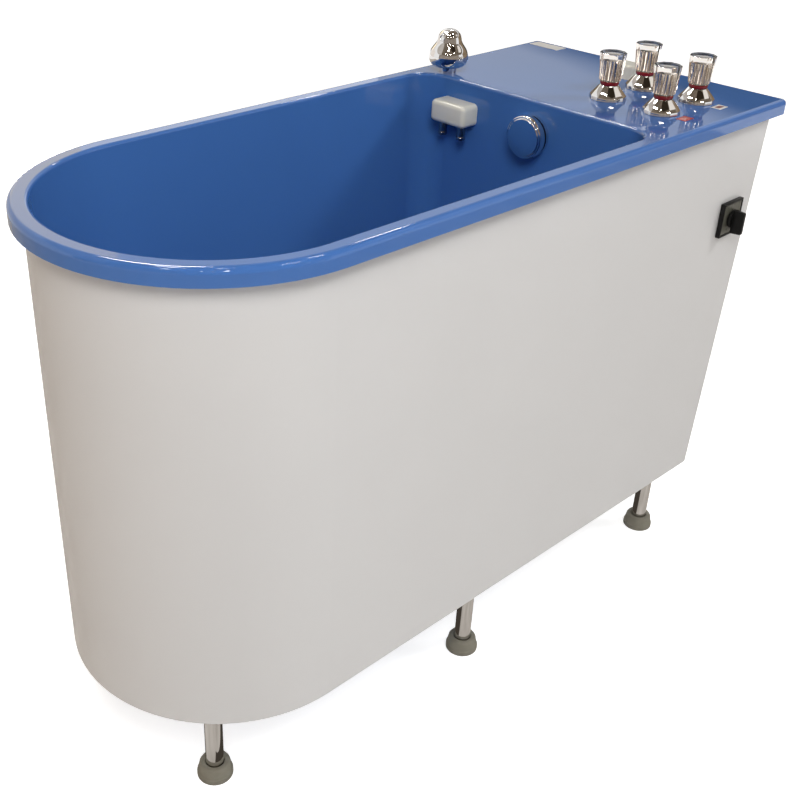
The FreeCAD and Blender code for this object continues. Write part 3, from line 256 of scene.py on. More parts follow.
def make_mould_ripple():
    """The faint long waves and fine peel that a moulded or sprayed surface shows in its gloss."""
    group, entry, leave = new_group(
        "Mould ripple",
        [("Vector", "Vector", None), ("Wave Scale", "Float", 6.0), ("Peel Scale", "Float", 260.0),
         ("Peel Share", "Float", 0.06)],
        [("Height", "Float")])
    wave = group.nodes.new("ShaderNodeTexNoise")
    wave.inputs["Detail"].default_value = 1.0
    peel = group.nodes.new("ShaderNodeTexNoise")
    peel.inputs["Detail"].default_value = 2.0
    blend = group.nodes.new("ShaderNodeMath")
    blend.operation = "MULTIPLY_ADD"
    link = group.links.new
    link(entry.outputs["Vector"], wave.inputs["Vector"])
    link(entry.outputs["Wave Scale"], wave.inputs["Scale"])
    link(entry.outputs["Vector"], peel.inputs["Vector"])
    link(entry.outputs["Peel Scale"], peel.inputs["Scale"])
    link(peel.outputs["Fac"], blend.inputs[0])
    link(entry.outputs["Peel Share"], blend.inputs[1])
    link(wave.outputs["Fac"], blend.inputs[2])
    link(blend.outputs["Value"], leave.inputs["Height"])
    return group


def make_handling_marks():
    """Roughness that drifts between polished and dulled, where hands, cloths and water have been."""
    group, entry, leave = new_group(
        "Handling marks",
        [("Vector", "Vector", None), ("Scale", "Float", 9.0), ("Polished", "Float", 0.1),
         ("Dulled", "Float", 0.2)],
        [("Roughness", "Float")])
    smear = group.nodes.new("ShaderNodeTexNoise")
    smear.inputs["Detail"].default_value = 5.0
    smear.inputs["Distortion"].default_value = 0.6
    spread = group.nodes.new("ShaderNodeMapRange")
    spread.inputs["From Min"].default_value = 0.35
    spread.inputs["From Max"].default_value = 0.7
    link = group.links.new
    link(entry.outputs["Vector"], smear.inputs["Vector"])
    link(entry.outputs["Scale"], smear.inputs["Scale"])
    link(smear.outputs["Fac"], spread.inputs["Value"])
    link(entry.outputs["Polished"], spread.inputs["To Min"])
    link(entry.outputs["Dulled"], spread.inputs["To Max"])
    link(spread.outputs["Result"], leave.inputs["Roughness"])
    return group


def make_shade_drift():
    """Colour that drifts between two close shades, as pigment, rubber or cast metal does."""
    group, entry, leave = new_group(
        "Shade drift",
        [("Vector", "Vector", None), ("Scale", "Float", 5.0), ("Main Shade", "Color", (0.5, 0.5, 0.5, 1)),
         ("Other Shade", "Color", (0.6, 0.6, 0.6, 1))],
        [("Color", "Color")])
    cloud = group.nodes.new("ShaderNodeTexNoise")
    cloud.inputs["Detail"].default_value = 3.0
    mix = group.nodes.new("ShaderNodeMix")
    mix.data_type = "RGBA"
    link = group.links.new
    link(entry.outputs["Vector"], cloud.inputs["Vector"])
    link(entry.outputs["Scale"], cloud.inputs["Scale"])
    link(cloud.outputs["Fac"], mix.inputs["Factor"])
    link(entry.outputs["Main Shade"], mix.inputs["A"])
    link(entry.outputs["Other Shade"], mix.inputs["B"])
    link(mix.outputs["Result"], leave.inputs["Color"])
    return group


MOULD_RIPPLE = make_mould_ripple()
HANDLING_MARKS = make_handling_marks()
SHADE_DRIFT = make_shade_drift()


# Finishes

def new_finish(name):
    """A finish with its shader and the coordinates that its effects follow."""
    finish = bpy.data.materials.new(name)
    finish.use_nodes = True
    tree = finish.node_tree
    shader = tree.nodes["Principled BSDF"]
    spots = tree.nodes.new("ShaderNodeTexCoord")
    return finish, tree, shader, spots.outputs["Object"]


def use_group(tree, group, spots, **values):
    """Add a shared effect to a tree. An underscore in a value's name stands for a space."""
    step = tree.nodes.new("ShaderNodeGroup")
    step.node_tree = group
    tree.links.new(spots, step.inputs["Vector"])
    for name, value in values.items():
        step.inputs[name.replace("_", " ")].default_value = value
    return step


def lay_shades(tree, shader, spots, main, other, scale):
    drift = use_group(tree, SHADE_DRIFT, spots, Scale=scale, Main_Shade=(*main, 1), Other_Shade=(*other, 1))
    tree.links.new(drift.outputs["Color"], shader.inputs["Base Color"])


def lay_marks(tree, shader, spots, polished, dulled, scale):
    marks = use_group(tree, HANDLING_MARKS, spots, Scale=scale, Polished=polished, Dulled=dulled)
    tree.links.new(marks.outputs["Roughness"], shader.inputs["Roughness"])


def lay_ripple(tree, shader, spots, depth, wave, peel, share):
    ripple = use_group(tree, MOULD_RIPPLE, spots, Wave_Scale=wave, Peel_Scale=peel, Peel_Share=share)
    bump = tree.nodes.new("ShaderNodeBump")
    bump.inputs["Distance"].default_value = depth
    tree.links.new(ripple.outputs["Height"], bump.inputs["Height"])
    tree.links.new(bump.outputs["Normal"], shader.inputs["Normal"])


def moulded_finish(name, main, other, polished, dulled, depth=0.0002, wave=5.0, peel=260.0, share=0.05,
                   drift=6.0, marks=9.0, ior=1.5, specular=0.5):
    """Gel coat, plastic, rubber and paint: two close shades, drifting gloss and a faint ripple."""
    finish, tree, shader, spots = new_finish(name)
    lay_shades(tree, shader, spots, main, other, drift)
    lay_marks(tree, shader, spots, polished, dulled, marks)
    lay_ripple(tree, shader, spots, depth, wave, peel, share)
    shader.inputs["IOR"].default_value = ior
    shader.inputs["Specular IOR Level"].default_value = specular
    return finish


def metal_finish(name, main, other, polished, dulled, drift=20.0, marks=30.0):
    """Bare and plated metal: two close shades and drifting gloss."""
    finish, tree, shader, spots = new_finish(name)
    lay_shades(tree, shader, spots, main, other, drift)
    lay_marks(tree, shader, spots, polished, dulled, marks)
    shader.inputs["Metallic"].default_value = 1.0
    return finish


def clear_finish(name, main, other, polished, dulled, drift=60.0, marks=40.0, ior=1.49):
    """See-through acrylic with a slight tint."""
    finish, tree, shader, spots = new_finish(name)
    lay_shades(tree, shader, spots, main, other, drift)
    lay_marks(tree, shader, spots, polished, dulled, marks)
    shader.inputs["Transmission Weight"].default_value = 1.0
    shader.inputs["IOR"].default_value = ior
    return finish


def make_finishes():
    """Every finish under its key, each with two shades, its polished and its dulled roughness."""
    return {
        "blue_shell": moulded_finish(
            "blue gel coat", (0.056, 0.162, 0.458), (0.062, 0.176, 0.484), 0.012, 0.035,
            depth=0.0004, wave=4.0, peel=320.0, share=0.02, ior=1.52),
        "white_casing": moulded_finish(
            "white gel coat", (0.722, 0.715, 0.712), (0.752, 0.745, 0.742), 0.14, 0.24,
            depth=0.0005, wave=3.0, peel=300.0, share=0.02),
        "chrome": metal_finish(
            "polished chrome", (0.72, 0.71, 0.70), (0.79, 0.78, 0.77), 0.02, 0.06),
        "handle_core": metal_finish(
            "satin handle core", (0.66, 0.60, 0.54), (0.84, 0.79, 0.73), 0.06, 0.16),
        # Painted shade: this chrome is darkened for the shade under the inlet box and the dark basin the
        # spouts mirror; its higher roughness is a duller polish.
        "dulled_and_shaded_chrome": metal_finish(
            "dulled chrome with painted shade", (0.26, 0.26, 0.27), (0.36, 0.36, 0.37), 0.08, 0.18),
        "frame_paint": moulded_finish(
            "grey frame paint", (0.30, 0.31, 0.32), (0.34, 0.35, 0.35), 0.35, 0.5),
        "steel": metal_finish(
            "plain steel", (0.50, 0.50, 0.49), (0.60, 0.60, 0.59), 0.25, 0.4),
        "brass": metal_finish(
            "cast brass", (0.62, 0.45, 0.20), (0.70, 0.53, 0.26), 0.25, 0.4),
        "copper": metal_finish(
            "drawn copper", (0.72, 0.34, 0.22), (0.80, 0.42, 0.29), 0.2, 0.38),
        "grey_pipe": moulded_finish(
            "grey waste pipe", (0.22, 0.23, 0.24), (0.26, 0.27, 0.28), 0.35, 0.5),
        "white_plastic": moulded_finish(
            "white moulding", (0.78, 0.77, 0.68), (0.83, 0.82, 0.73), 0.22, 0.32),
        "black_plastic": moulded_finish(
            "black switch plastic", (0.004, 0.004, 0.004), (0.008, 0.008, 0.008), 0.35, 0.5,
            peel=900.0, share=0.2, specular=0.2),
        "dark_plate": moulded_finish(
            "dark switch plate", (0.070, 0.072, 0.060), (0.125, 0.120, 0.095), 0.25, 0.4,
            peel=700.0, share=0.15),
        "motor_case": moulded_finish(
            "motor case", (0.30, 0.31, 0.32), (0.36, 0.37, 0.37), 0.3, 0.45),
        "grey_rubber": moulded_finish(
            "grey rubber", (0.205, 0.192, 0.150), (0.285, 0.270, 0.218), 0.55, 0.75,
            peel=600.0, share=0.4, drift=60.0),
        "red_ring": moulded_finish(
            "dark red ring", (0.16, 0.004, 0.008), (0.22, 0.008, 0.012), 0.14, 0.22),
        "label_film": moulded_finish(
            "plain label film", (0.72, 0.70, 0.66), (0.78, 0.76, 0.72), 0.3, 0.4),
        "red_film": moulded_finish(
            "red index film", (0.44, 0.045, 0.045), (0.52, 0.07, 0.065), 0.3, 0.4),
        "pale_red_film": moulded_finish(
            "pale red index film", (0.52, 0.14, 0.13), (0.60, 0.24, 0.22), 0.3, 0.4, drift=120.0),
        "dark_red_film": moulded_finish(
            "dark red index film", (0.17, 0.02, 0.022), (0.24, 0.04, 0.042), 0.3, 0.4, drift=120.0),
        "clear_handle": clear_finish(
            "clear acrylic", (0.80, 0.76, 0.72), (0.90, 0.87, 0.84), 0.01, 0.05),
    }


finishes = make_finishes()


def coat_nodes():
    """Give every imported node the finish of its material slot."""
    for part in frame["record"]["subparts"]:
        paint(nodes[part["node"]], finishes[part["material_slot"]])


coat_nodes()


# Pieces modelled in this script

def fit(piece, spot, finish, body, node):
    """Set a piece down, give it its finish and mount it."""
    set_down(piece, spot)
    paint(piece, finishes[finish])
    mount(piece, body, node)


def make_tap_bell():
    """Chrome cover of a tap: twelve flat sides in three tiers, steep at the foot and sloped above."""
    neck_share = 0.5
    tiers = ((0.0125, 1.12), (0.0062, 1.085))
    bell = pillar("tap_bell", sides=12, radius=0.0300, height=0.0230)
    choose_faces(UP)
    bpy.ops.transform.resize(value=(neck_share, neck_share, 1))
    for height, swell in tiers:
        bpy.ops.mesh.select_all(action="SELECT")
        bpy.ops.mesh.bisect(plane_co=(0, 0, height), plane_no=UP)
        bpy.ops.transform.resize(value=(swell, swell, 1))
    close_seams()
    soften(bell, 0.0006, segments=2, angle=12)
    return bell


def make_tap_handle():
    """Clear handle with ten flat sides: it widens upwards and has a dished top with a raised middle."""
    top_share = 1.24
    dish_edge, dish_depth = 0.0042, 0.0012
    crown_edge, crown_rise = 0.0050, 0.0009
    handle = pillar("tap_handle", sides=10, radius=0.0178, height=0.045)
    choose_faces(UP)
    bpy.ops.transform.resize(value=(top_share, top_share, 1))
    bpy.ops.mesh.inset(thickness=dish_edge)
    bpy.ops.transform.translate(value=(0, 0, -dish_depth))
    bpy.ops.mesh.inset(thickness=crown_edge)
    bpy.ops.transform.translate(value=(0, 0, crown_rise))
    close_seams()
    soften(handle, 0.0011, angle=20)
    return handle


def make_tap_core(shaft, height):
    """Metal spindle that shows through a handle: a core with sixteen flutes on a plain shaft."""
    corners = 32
    flute_share = 0.86
    shaft_radius, overlap = 0.005, 0.002
    shaft_top = shaft + overlap

    def in_flute(a, b):
        upright = (a.xy - b.xy).length < 0.0001
        return upright and round(math.atan2(a.y, a.x) / (2 * math.pi) * corners) % 2 == 1

    core = pillar("tap_core", sides=corners, radius=0.0115, height=height, foot=shaft)
    choose_edges(in_flute)
    bpy.ops.transform.resize(value=(flute_share, flute_share, 1))
    close_seams()
    soften(core, 0.0004, segments=2, angle=20)
    stem = turn_on_lathe("tap_stem", [
        (0, 0), (shaft_radius, 0), (shaft_radius, shaft_top), (0, shaft_top)], PLAIN_STEPS)
    soften(stem, 0.0004, segments=2)
    return joined([core, stem])


def make_tap_ring():
    ring = turn_on_lathe("tap_ring", [
        (0.0075, 0.0001), (0.0140, 0.0001), (0.0155, 0.0016), (0.0155, 0.0049), (0.0140, 0.0064),
        (0.0075, 0.0064), (0.0075, 0.0001)], FINE_STEPS)
    soften(ring, 0.0008)
    return ring


def make_taps():
    low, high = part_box(TAPS[0] + "_spindle")
    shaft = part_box(TAPS[0] + "_handle")[0].z - low.z
    cores = copies(make_tap_core(shaft, high.z - low.z - shaft), [tap + "_core" for tap in TAPS])
    bells = copies(make_tap_bell(), [tap + "_cover" for tap in TAPS])
    handles = copies(make_tap_handle(), [tap + "_grip" for tap in TAPS])
    rings = copies(make_tap_ring(), [tap + "_ring" for tap in TAPS])
    ring_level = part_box("tap_rings")[0].z
    for tap, bell, handle, core, ring in zip(TAPS, bells, handles, cores, rings):
        foot = base_of(tap + "_bell")
        fit(bell, foot, "chrome", "tub", tap + "_bell")
        fit(handle, base_of(tap + "_handle"), "clear_handle", tap, tap + "_handle")
        fit(core, base_of(tap + "_spindle"), "handle_core", tap, tap + "_spindle")
        set_down(ring, Vector((foot.x, foot.y, ring_level)))
    collars = joined(rings)
    collars.name = "tap_collars"
    paint(collars, finishes["red_ring"])
    mount(collars, "tub", "tap_rings")


def make_hand_shower():
    """Pear-shaped chrome head with a small spray nozzle on its round end, and its stem."""
    stem_radius, stem_top = 0.0095, 0.0105
    nozzle_tilt, nozzle_level = 80, 0.0560
    base = base_of("shower_socket")
    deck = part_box("tub_shell")[1].z
    stem_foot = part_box("hand_shower")[0].z - deck
    head = turn_on_lathe("shower_head", [
        (0.0095, 0.0083), (0.0225, 0.0084), (0.0330, 0.0140), (0.0350, 0.0255), (0.0332, 0.0355),
        (0.0275, 0.0435), (0.0222, 0.0500), (0.0209, 0.0575), (0.0182, 0.0652), (0.0100, 0.0717),
        (0, 0.0726)], steps=20)
    smooth_over(head, levels=3)
    stem = turn_on_lathe("shower_stem", [
        (0, stem_foot), (stem_radius, stem_foot), (stem_radius, stem_top), (0, stem_top)], FINE_STEPS)
    soften(stem, 0.0006, segments=2)
    nozzle = turn_on_lathe("shower_nozzle", [
        (0, 0.0140), (0.0058, 0.0140), (0.0058, 0.0208), (0.0044, 0.0208), (0.0040, 0.0192),
        (0, 0.0192)], PLAIN_STEPS)
    soften(nozzle, 0.0004, segments=2)
    tip_over(nozzle, nozzle_tilt)
    set_down(nozzle, (0, 0, nozzle_level))
    shower = joined([head, stem, nozzle])
    shower.name = "hand_shower_head"
    fit(shower, Vector((base.x, base.y, deck)), "chrome", "shower", "hand_shower")


def make_waste_knob():
    """Chrome disc with a second, smaller disc standing on it, on its shaft."""
    thick = 0.0160
    low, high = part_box("waste_knob")
    middle = middle_of("waste_knob")
    shaft = high.x - low.x - thick
    knob = turn_on_lathe("waste_dial", [
        (0, -shaft), (0.005, -shaft), (0.005, 0), (0.0330, 0), (0.0350, 0.0020), (0.0350, 0.0122),
        (0.0345, 0.0138), (0.0332, 0.0145), (0.0312, 0.0146), (0.0306, 0.0149), (0.0298, thick),
        (0, thick)], steps=64)
    soften(knob, 0.0003, segments=2, angle=25)
    tip_over(knob, 90)
    spot = Vector((low.x + thick, middle.y, middle.z))
    fit(knob, spot, "chrome", "waste_control", "waste_knob")


def make_feet():
    """Rubber foot with a step in its flank and a recess for the tube, on a plain steel stem."""
    stem_radius, stem_foot, stem_top = 0.0080, 0.0190, 0.1000
    rubber = turn_on_lathe("levelling_foot", [
        (0, 0), (0.0260, 0), (0.0270, 0.0010), (0.0270, 0.0082), (0.0262, 0.0092), (0.0254, 0.0097),
        (0.0232, 0.0225), (0.0212, 0.0258), (0.0152, 0.0258), (0.0143, 0.0250), (0.0143, 0.0195),
        (0, 0.0195)], FINE_STEPS)
    soften(rubber, 0.0006, segments=2, angle=25)
    paint(rubber, finishes["grey_rubber"])
    stem = turn_on_lathe("levelling_stem", [
        (0, stem_foot), (stem_radius, stem_foot), (stem_radius, stem_top), (0, stem_top)], steps=32)
    soften(stem, 0.0006, segments=2)
    paint(stem, finishes["steel"])
    feet = copies(joined([rubber, stem]), [leg + "_levelling_foot" for leg in LEGS])
    for leg, foot in zip(LEGS, feet):
        set_down(foot, base_of(leg + "_foot"))
        mount(foot, leg + "_leveller", leg + "_foot")


def make_switch_plate():
    """Black plate whose field is dark, a little sunk and framed by a plain border."""
    border, slope, sink = 0.0030, 0.0012, 0.0012
    plate = block("switch_escutcheon", *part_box("switch_plate"))
    paint(plate, finishes["black_plastic"])
    choose_faces(NEAR)
    bpy.ops.mesh.inset(thickness=border)
    bpy.ops.mesh.inset(thickness=slope)
    bpy.ops.transform.translate(value=(0, sink, 0))
    paint_chosen(plate, finishes["dark_plate"])
    close_seams()
    soften(plate, 0.0008)
    mount(plate, "tub", "switch_plate")


def make_switch_grip():
    """Round boss on its spindle, with a tapered bar across it."""
    boss_radius, boss_depth, boss_edge = 0.016, 0.005, 0.012
    bar_depth, bar_half, overlap = 0.018, 0.006, 0.002
    bar_taper = (0.72, 1, 0.94)
    axis = middle_of("switch_plate")
    low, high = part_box("switch_knob")
    spindle = high.y - low.y - bar_depth - boss_depth
    clear_bench()
    bpy.ops.mesh.primitive_cylinder_add(
        vertices=FINE_STEPS, radius=boss_radius, depth=boss_depth, rotation=(math.radians(90), 0, 0),
        location=(axis.x, low.y + bar_depth + boss_depth / 2, axis.z))
    boss = blank("switch_grip")
    choose_faces(FAR)
    bpy.ops.mesh.inset(thickness=boss_edge)
    bpy.ops.mesh.extrude_region_move(TRANSFORM_OT_translate={"value": (0, spindle, 0)})
    close_seams()
    soften(boss, 0.0012)
    bar = block("switch_bar", Vector((axis.x - bar_half, low.y, low.z)),
                Vector((axis.x + bar_half, low.y + bar_depth + overlap, high.z)))
    choose_faces(NEAR)
    bpy.ops.transform.resize(value=bar_taper)
    close_seams()
    soften(bar, 0.0022, segments=4)
    grip = joined([boss, bar])
    paint(grip, finishes["black_plastic"])
    mount(grip, "switch", "switch_knob")


def make_inlet_box():
    """White box with all its edges rounded, apart from those at the wall that it is fixed to."""
    edge_round, clear_of_wall = 0.0085, 0.001
    low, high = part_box("inlet_housing")
    cover = block("inlet_cover", low, high)
    choose_edges(lambda a, b: min(a.x, b.x) < high.x - clear_of_wall)
    bpy.ops.mesh.bevel(offset=edge_round, segments=5, profile=0.5)
    close_seams()
    pick(cover)
    bpy.ops.object.shade_smooth_by_angle(angle=math.radians(35))
    paint(cover, finishes["white_plastic"])
    mount(cover, "tub", "inlet_housing")


def make_inlet_spouts():
    """Two short chrome spouts under the inlet box, each with a lip round its mouth."""
    low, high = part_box("inlet_nozzles")
    reach = high.z - low.z
    radius = (high.x - low.x) / 2
    neck = radius - 0.0008
    bore = 0.0055
    spout = turn_on_lathe("inlet_spout", [
        (bore, 0.0006), (0.0070, 0), (radius, 0.0010), (radius, 0.0052), (neck, 0.0064), (neck, reach),
        (bore, reach), (bore, 0.0006)], FINE_STEPS)
    soften(spout, 0.0004, segments=2)
    spouts = copies(spout, ["inlet_spout", "inlet_spout_far"])
    for each, y in zip(spouts, (low.y + radius, high.y - radius)):
        set_down(each, Vector((low.x + radius, y, low.z)))
    pair = joined(spouts)
    pair.name = "inlet_spouts"
    # The spouts' darker chrome is painted shade under the inlet box.
    paint(pair, finishes["dulled_and_shaded_chrome"])
    mount(pair, "tub", "inlet_nozzles")


def make_index_labels():
    """Two small films beside the outer taps, each with a field of its own colour."""
    half_length, half_width, border = 0.0125, 0.0085, 0.0042
    looks = (("front_outer_tap", "red_film", "pale_red_film"),
             ("rear_outer_tap", "label_film", "dark_red_film"))
    low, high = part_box("tap_index_plates")
    y = (low.y + high.y) / 2
    labels = []
    for tap, edge, field in looks:
        x = base_of(tap + "_bell").x
        label = block("index_label", Vector((x - half_length, y - half_width, low.z)),
                      Vector((x + half_length, y + half_width, high.z)))
        paint(label, finishes[edge])
        choose_faces(UP)
        bpy.ops.mesh.inset(thickness=border)
        paint_chosen(label, finishes[field])
        close_seams()
        soften(label, 0.0002, segments=2)
        labels.append(label)
    pair = joined(labels)
    pair.name = "tap_index_labels"
    mount(pair, "tub", "tap_index_plates")


make_taps()
make_hand_shower()
make_waste_knob()
make_feet()
make_switch_plate()
make_switch_grip()
make_inlet_box()
make_inlet_spouts()
make_index_labels()


# Stage, light and camera

FILL_STRENGTH = 0.42
FILL_SIDE = (0.72, -0.69, 0.0)
FILL_LEFT = (0.50, 0.32, 0.15, 1)
FILL_RIGHT = (1.0, 0.985, 0.965, 1)
FLOOR_GLOW = 0.70

TUB_MIDDLE = (0, 0, 0.6)
WHITE = (1.0, 1.0, 1.0)
AMBER = (1.0, 0.66, 0.40)
SOFTBOXES = (
    # name, spot, aim, size, watts, colour
    ("left softbox", (-1.45, -1.45, 2.65), TUB_MIDDLE, (1.0, 1.0), 38, WHITE),
    ("right softbox", (3.8, -2.9, 3.8), TUB_MIDDLE, (0.9, 0.9), 74, WHITE),
    ("back softbox", (0.8, 2.6, 0.55), (0, 0.2, 0.45), (2.2, 0.9), 22, WHITE),
    ("warm left softbox", (-2.4, 1.6, 1.3), (-0.5, 0, 0.5), (1.0, 1.0), 4, AMBER),
)

PATCHY_FLATS = (
    # name, spot, aim, size, tone, other tone, patch scale
    ("near ceiling flat", (-0.3, -1.7, 2.8), (-0.3, -1.7, 0), (7.4, 4.6),
     (0.01, 0.006, 0.003), (0.36, 0.29, 0.22), 1.1),
    ("far ceiling flat", (-0.3, 1.6, 2.8), (-0.3, 1.6, 0), (7.4, 2.0),
     (0.38, 0.34, 0.30), (0.74, 0.70, 0.66), 0.9),
    ("left room flat", (-4.0, -1.2, 1.4), (0, -1.2, 1.4), (5.6, 2.8),
     (0.04, 0.03, 0.02), (0.60, 0.52, 0.46), 0.9),
    ("near room flat", (-1.2, -4.0, 1.4), (-1.2, 0, 1.4), (5.6, 2.8),
     (0.02, 0.015, 0.01), (0.62, 0.53, 0.44), 2.0),
    ("dark back panel", (3.05, 5.25, 1.6), (0.45, 0, 1.6), (2.4, 1.4),
     (0.02, 0.014, 0.008), (0.40, 0.33, 0.26), 1.5),
    ("back room flat", (-1.6, 7.0, 2.0), (-1.6, 0, 2.0), (5.6, 4.0),
     (0.70, 0.64, 0.58), (1.2, 1.12, 1.06), 0.8),
    ("floor mat", (0, 0, 0.0010), (0, 0, 2), (6, 6),
     (0.24, 0.21, 0.18), (0.82, 0.77, 0.71), 9.0),
    ("right room flat", (5.0, -1.8, 1.6), (0, -1.8, 1.6), (5.0, 3.2),
     (0.06, 0.04, 0.02), (0.50, 0.37, 0.25), 0.9),
)
PLAIN_FLATS = (
    # name, spot, aim, size, tone
    ("pale ceiling panel", (1.95, -1.4, 2.7), (1.95, -1.4, 0), (1.1, 1.1), (0.96, 0.90, 0.83)),
    ("dark ceiling panel", (0.2, -1.0, 2.77), (0.2, -1.0, 0), (0.9, 0.9), (0.03, 0.022, 0.014)),
    ("warm end wall", (2.4, 7.2, 3.4), (0, 0, 3.4), (2.6, 3.2), (1.8, 1.55, 1.05)),
    ("window flat", (4.1, 5.75, 2.9), (0, 0.2, 2.9), (2.3, 0.8), (1.65, 1.65, 1.65)),
    ("shadow mat", (0.02, 0.01, 0.0015), (0.02, 0.01, 2), (1.10, 0.40), (0.06, 0.05, 0.04)),
)

LAMP_LEVEL = 2.75
LAMP_TONE = (60, 58, 55)
LAMP_SIZE = (0.24, 0.09)
LAMP_SPOTS = ((-2.4, -1.8), (-1.2, -1.8), (0.0, -1.8), (-1.8, -0.5), (-0.6, -0.5), (0.6, -0.5))
TUBES = (
    # x, y, size
    (0.1, 1.3, (0.20, 1.1)),
    (1.8, 1.2, (0.12, 0.5)),
    (-0.7, 0.3, (0.10, 0.4)),
)

CAMERA_SPOT = (-1.19583, -1.09854, 1.34863)
CAMERA_TURN = (59.932, -1.620, -43.597)
CAMERA_SENSOR = 36
CAMERA_LENS = 50.691
CAMERA_SHIFT = (0.05843, -0.01182)


def light_path_mix(tree, seen, unseen):
    """Mix two shaders: the first for what the camera, gloss and glass see, the second for light."""
    path = tree.nodes.new("ShaderNodeLightPath")
    either = tree.nodes.new("ShaderNodeMath")
    either.operation = "MAXIMUM"
    any_seen = tree.nodes.new("ShaderNodeMath")
    any_seen.operation = "MAXIMUM"
    mix = tree.nodes.new("ShaderNodeMixShader")
    link = tree.links.new
    link(path.outputs["Is Camera Ray"], either.inputs[0])
    link(path.outputs["Is Glossy Ray"], either.inputs[1])
    link(either.outputs["Value"], any_seen.inputs[0])
    link(path.outputs["Is Transmission Ray"], any_seen.inputs[1])
    link(any_seen.outputs["Value"], mix.inputs["Fac"])
    link(unseen, mix.inputs[1])
    link(seen, mix.inputs[2])
    return mix.outputs["Shader"]


def make_world():
    """White for the eye, with a fill light that is dimmer and warmer on the far left than on the right."""
    world = bpy.data.worlds.new("White studio")
    bpy.context.scene.world = world
    world.use_nodes = True
    tree = world.node_tree
    fill = tree.nodes["Background"]
    fill.inputs["Strength"].default_value = FILL_STRENGTH
    around = tree.nodes.new("ShaderNodeTexCoord")
    side = tree.nodes.new("ShaderNodeVectorMath")
    side.operation = "DOT_PRODUCT"
    side.inputs[1].default_value = FILL_SIDE
    shade = tree.nodes.new("ShaderNodeMapRange")
    shade.inputs["From Min"].default_value = -0.9
    shade.inputs["From Max"].default_value = 0.1
    warmth = tree.nodes.new("ShaderNodeMix")
    warmth.data_type = "RGBA"
    warmth.inputs["A"].default_value = FILL_LEFT
    warmth.inputs["B"].default_value = FILL_RIGHT
    white = tree.nodes.new("ShaderNodeBackground")
    white.inputs["Color"].default_value = (1, 1, 1, 1)
    white.inputs["Strength"].default_value = 1.0
    link = tree.links.new
    link(around.outputs["Generated"], side.inputs[0])
    link(side.outputs["Value"], shade.inputs["Value"])
    link(shade.outputs["Result"], warmth.inputs["Factor"])
    link(warmth.outputs["Result"], fill.inputs["Color"])
    mixed = light_path_mix(tree, white.outputs["Background"], fill.outputs["Background"])
    link(mixed, tree.nodes["World Output"].inputs["Surface"])


def make_floor():
    """Pale floor that keeps the tub's shadow and is lifted to white for the eye."""
    clear_bench()
    bpy.ops.mesh.primitive_plane_add(size=14, location=(0, 0, 0))
    floor = bpy.context.object
    floor.name = "floor"
    paper = bpy.data.materials.new("pale floor paper")
    paper.use_nodes = True
    tree = paper.node_tree
    shader = tree.nodes["Principled BSDF"]
    shader.inputs["Base Color"].default_value = (0.82, 0.82, 0.82, 1)
    shader.inputs["Roughness"].default_value = 0.9
    glow = tree.nodes.new("ShaderNodeEmission")
    glow.inputs["Strength"].default_value = FLOOR_GLOW
    lifted = tree.nodes.new("ShaderNodeAddShader")
    tree.links.new(shader.outputs["BSDF"], lifted.inputs[0])
    tree.links.new(glow.outputs["Emission"], lifted.inputs[1])
    mixed = light_path_mix(tree, lifted.outputs["Shader"], shader.outputs["BSDF"])
    tree.links.new(mixed, tree.nodes["Material Output"].inputs["Surface"])
    floor.data.materials.append(paper)


def add_lamp(name, spot, aim, size, watts, colour):
    """Softbox that lights the part without showing in its gloss."""
    clear_bench()
    bpy.ops.object.light_add(type="AREA", location=spot)
    lamp = bpy.context.object
    lamp.name = name
    lamp.data.shape = "RECTANGLE"
    lamp.data.size, lamp.data.size_y = size
    lamp.data.energy = watts
    lamp.data.color = colour
    lamp.rotation_euler = (Vector(aim) - Vector(spot)).to_track_quat("-Z", "Y").to_euler()
    lamp.visible_camera = False
    lamp.visible_glossy = False


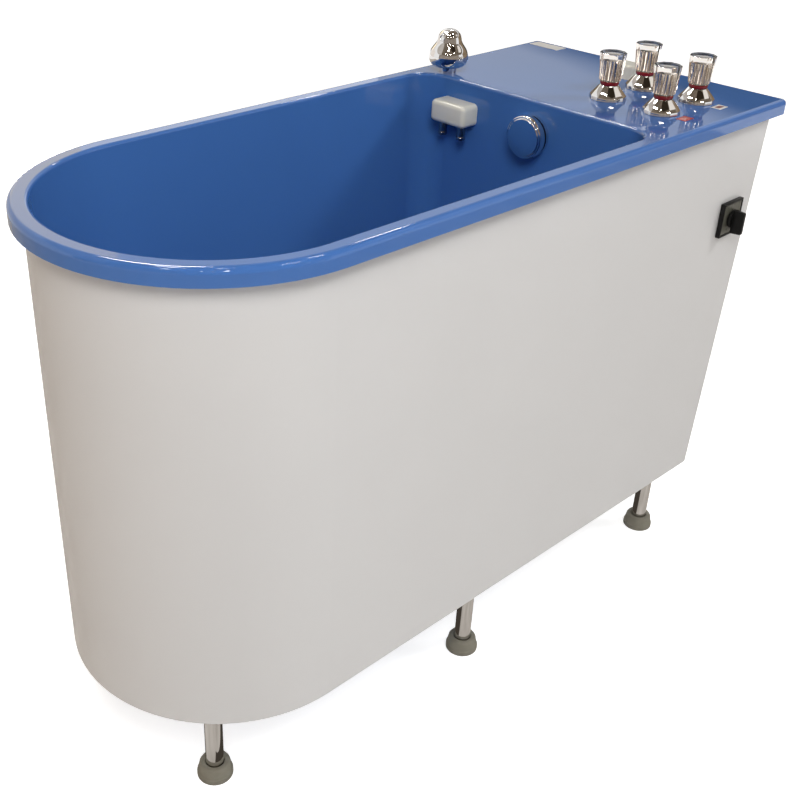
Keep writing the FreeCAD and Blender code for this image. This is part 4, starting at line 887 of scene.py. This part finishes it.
def add_flat(name, spot, aim, size, tone, other=None, patch=1.0):
    """Studio flat that only gloss and glass see, in one tone or in soft patches of two."""
    clear_bench()
    bpy.ops.mesh.primitive_plane_add(size=1, location=spot)
    flat = bpy.context.object
    flat.name = name
    flat.scale = (size[0], size[1], 1)
    bpy.ops.object.transform_apply(location=False, rotation=False, scale=True)
    flat.rotation_euler = (Vector(aim) - Vector(spot)).to_track_quat("Z", "Y").to_euler()
    cloth = bpy.data.materials.new(name + " cloth")
    cloth.use_nodes = True
    tree = cloth.node_tree
    tree.nodes.remove(tree.nodes["Principled BSDF"])
    spots = tree.nodes.new("ShaderNodeTexCoord").outputs["Object"]
    drift = use_group(tree, SHADE_DRIFT, spots, Scale=patch, Main_Shade=(*tone, 1),
                      Other_Shade=(*(other or tone), 1))
    glow = tree.nodes.new("ShaderNodeEmission")
    tree.links.new(drift.outputs["Color"], glow.inputs["Color"])
    tree.links.new(glow.outputs["Emission"], tree.nodes["Material Output"].inputs["Surface"])
    flat.data.materials.append(cloth)
    flat.visible_camera = False
    flat.visible_diffuse = False
    flat.visible_shadow = False
    return tree, spots, glow


def add_far_wall():
    """Wall that the deck mirrors: pale, and dark below a soft slanting line on its right."""
    tree, spots, glow = add_flat("far wall flat", (6.2, 4.2, 2.3), (0, 0, 2.3), (9.0, 5.0), (0.8, 0.8, 0.8))
    rise = tree.nodes.new("ShaderNodeVectorMath")
    rise.operation = "DOT_PRODUCT"
    rise.inputs[1].default_value = (-0.27, 0.963, 0)
    share = tree.nodes.new("ShaderNodeMapRange")
    share.inputs["From Min"].default_value = -0.5
    share.inputs["From Max"].default_value = 1.5
    ramp = tree.nodes.new("ShaderNodeValToRGB")
    dark, pale = ramp.color_ramp.elements
    dark.color = (0.06, 0.058, 0.055, 1)
    dark.position = 0.27
    pale.color = (1.0, 1.0, 0.99, 1)
    pale.position = 0.80
    knee = ramp.color_ramp.elements.new(0.36)
    knee.color = (0.74, 0.74, 0.73, 1)
    link = tree.links.new
    link(spots, rise.inputs[0])
    link(rise.outputs["Value"], share.inputs["Value"])
    link(share.outputs["Result"], ramp.inputs["Fac"])
    link(ramp.outputs["Color"], glow.inputs["Color"])


def dress_stage():
    for softbox in SOFTBOXES:
        add_lamp(*softbox)
    add_far_wall()
    for flat in PATCHY_FLATS + PLAIN_FLATS:
        add_flat(*flat)
    for x, y in LAMP_SPOTS:
        add_flat("ceiling lamp", (x, y, LAMP_LEVEL), (x, y, 0), LAMP_SIZE, LAMP_TONE)
    for x, y, size in TUBES:
        add_flat("lamp tube", (x, y, LAMP_LEVEL), (x, y, 0), size, LAMP_TONE)


def add_camera():
    clear_bench()
    bpy.ops.object.camera_add(location=CAMERA_SPOT, rotation=[math.radians(turn) for turn in CAMERA_TURN])
    camera = bpy.context.object
    camera.data.sensor_width = CAMERA_SENSOR
    camera.data.lens = CAMERA_LENS
    camera.data.shift_x, camera.data.shift_y = CAMERA_SHIFT
    bpy.context.scene.camera = camera


make_world()
make_floor()
dress_stage()
add_camera()
bpy.context.scene.view_settings.view_transform = "Standard"
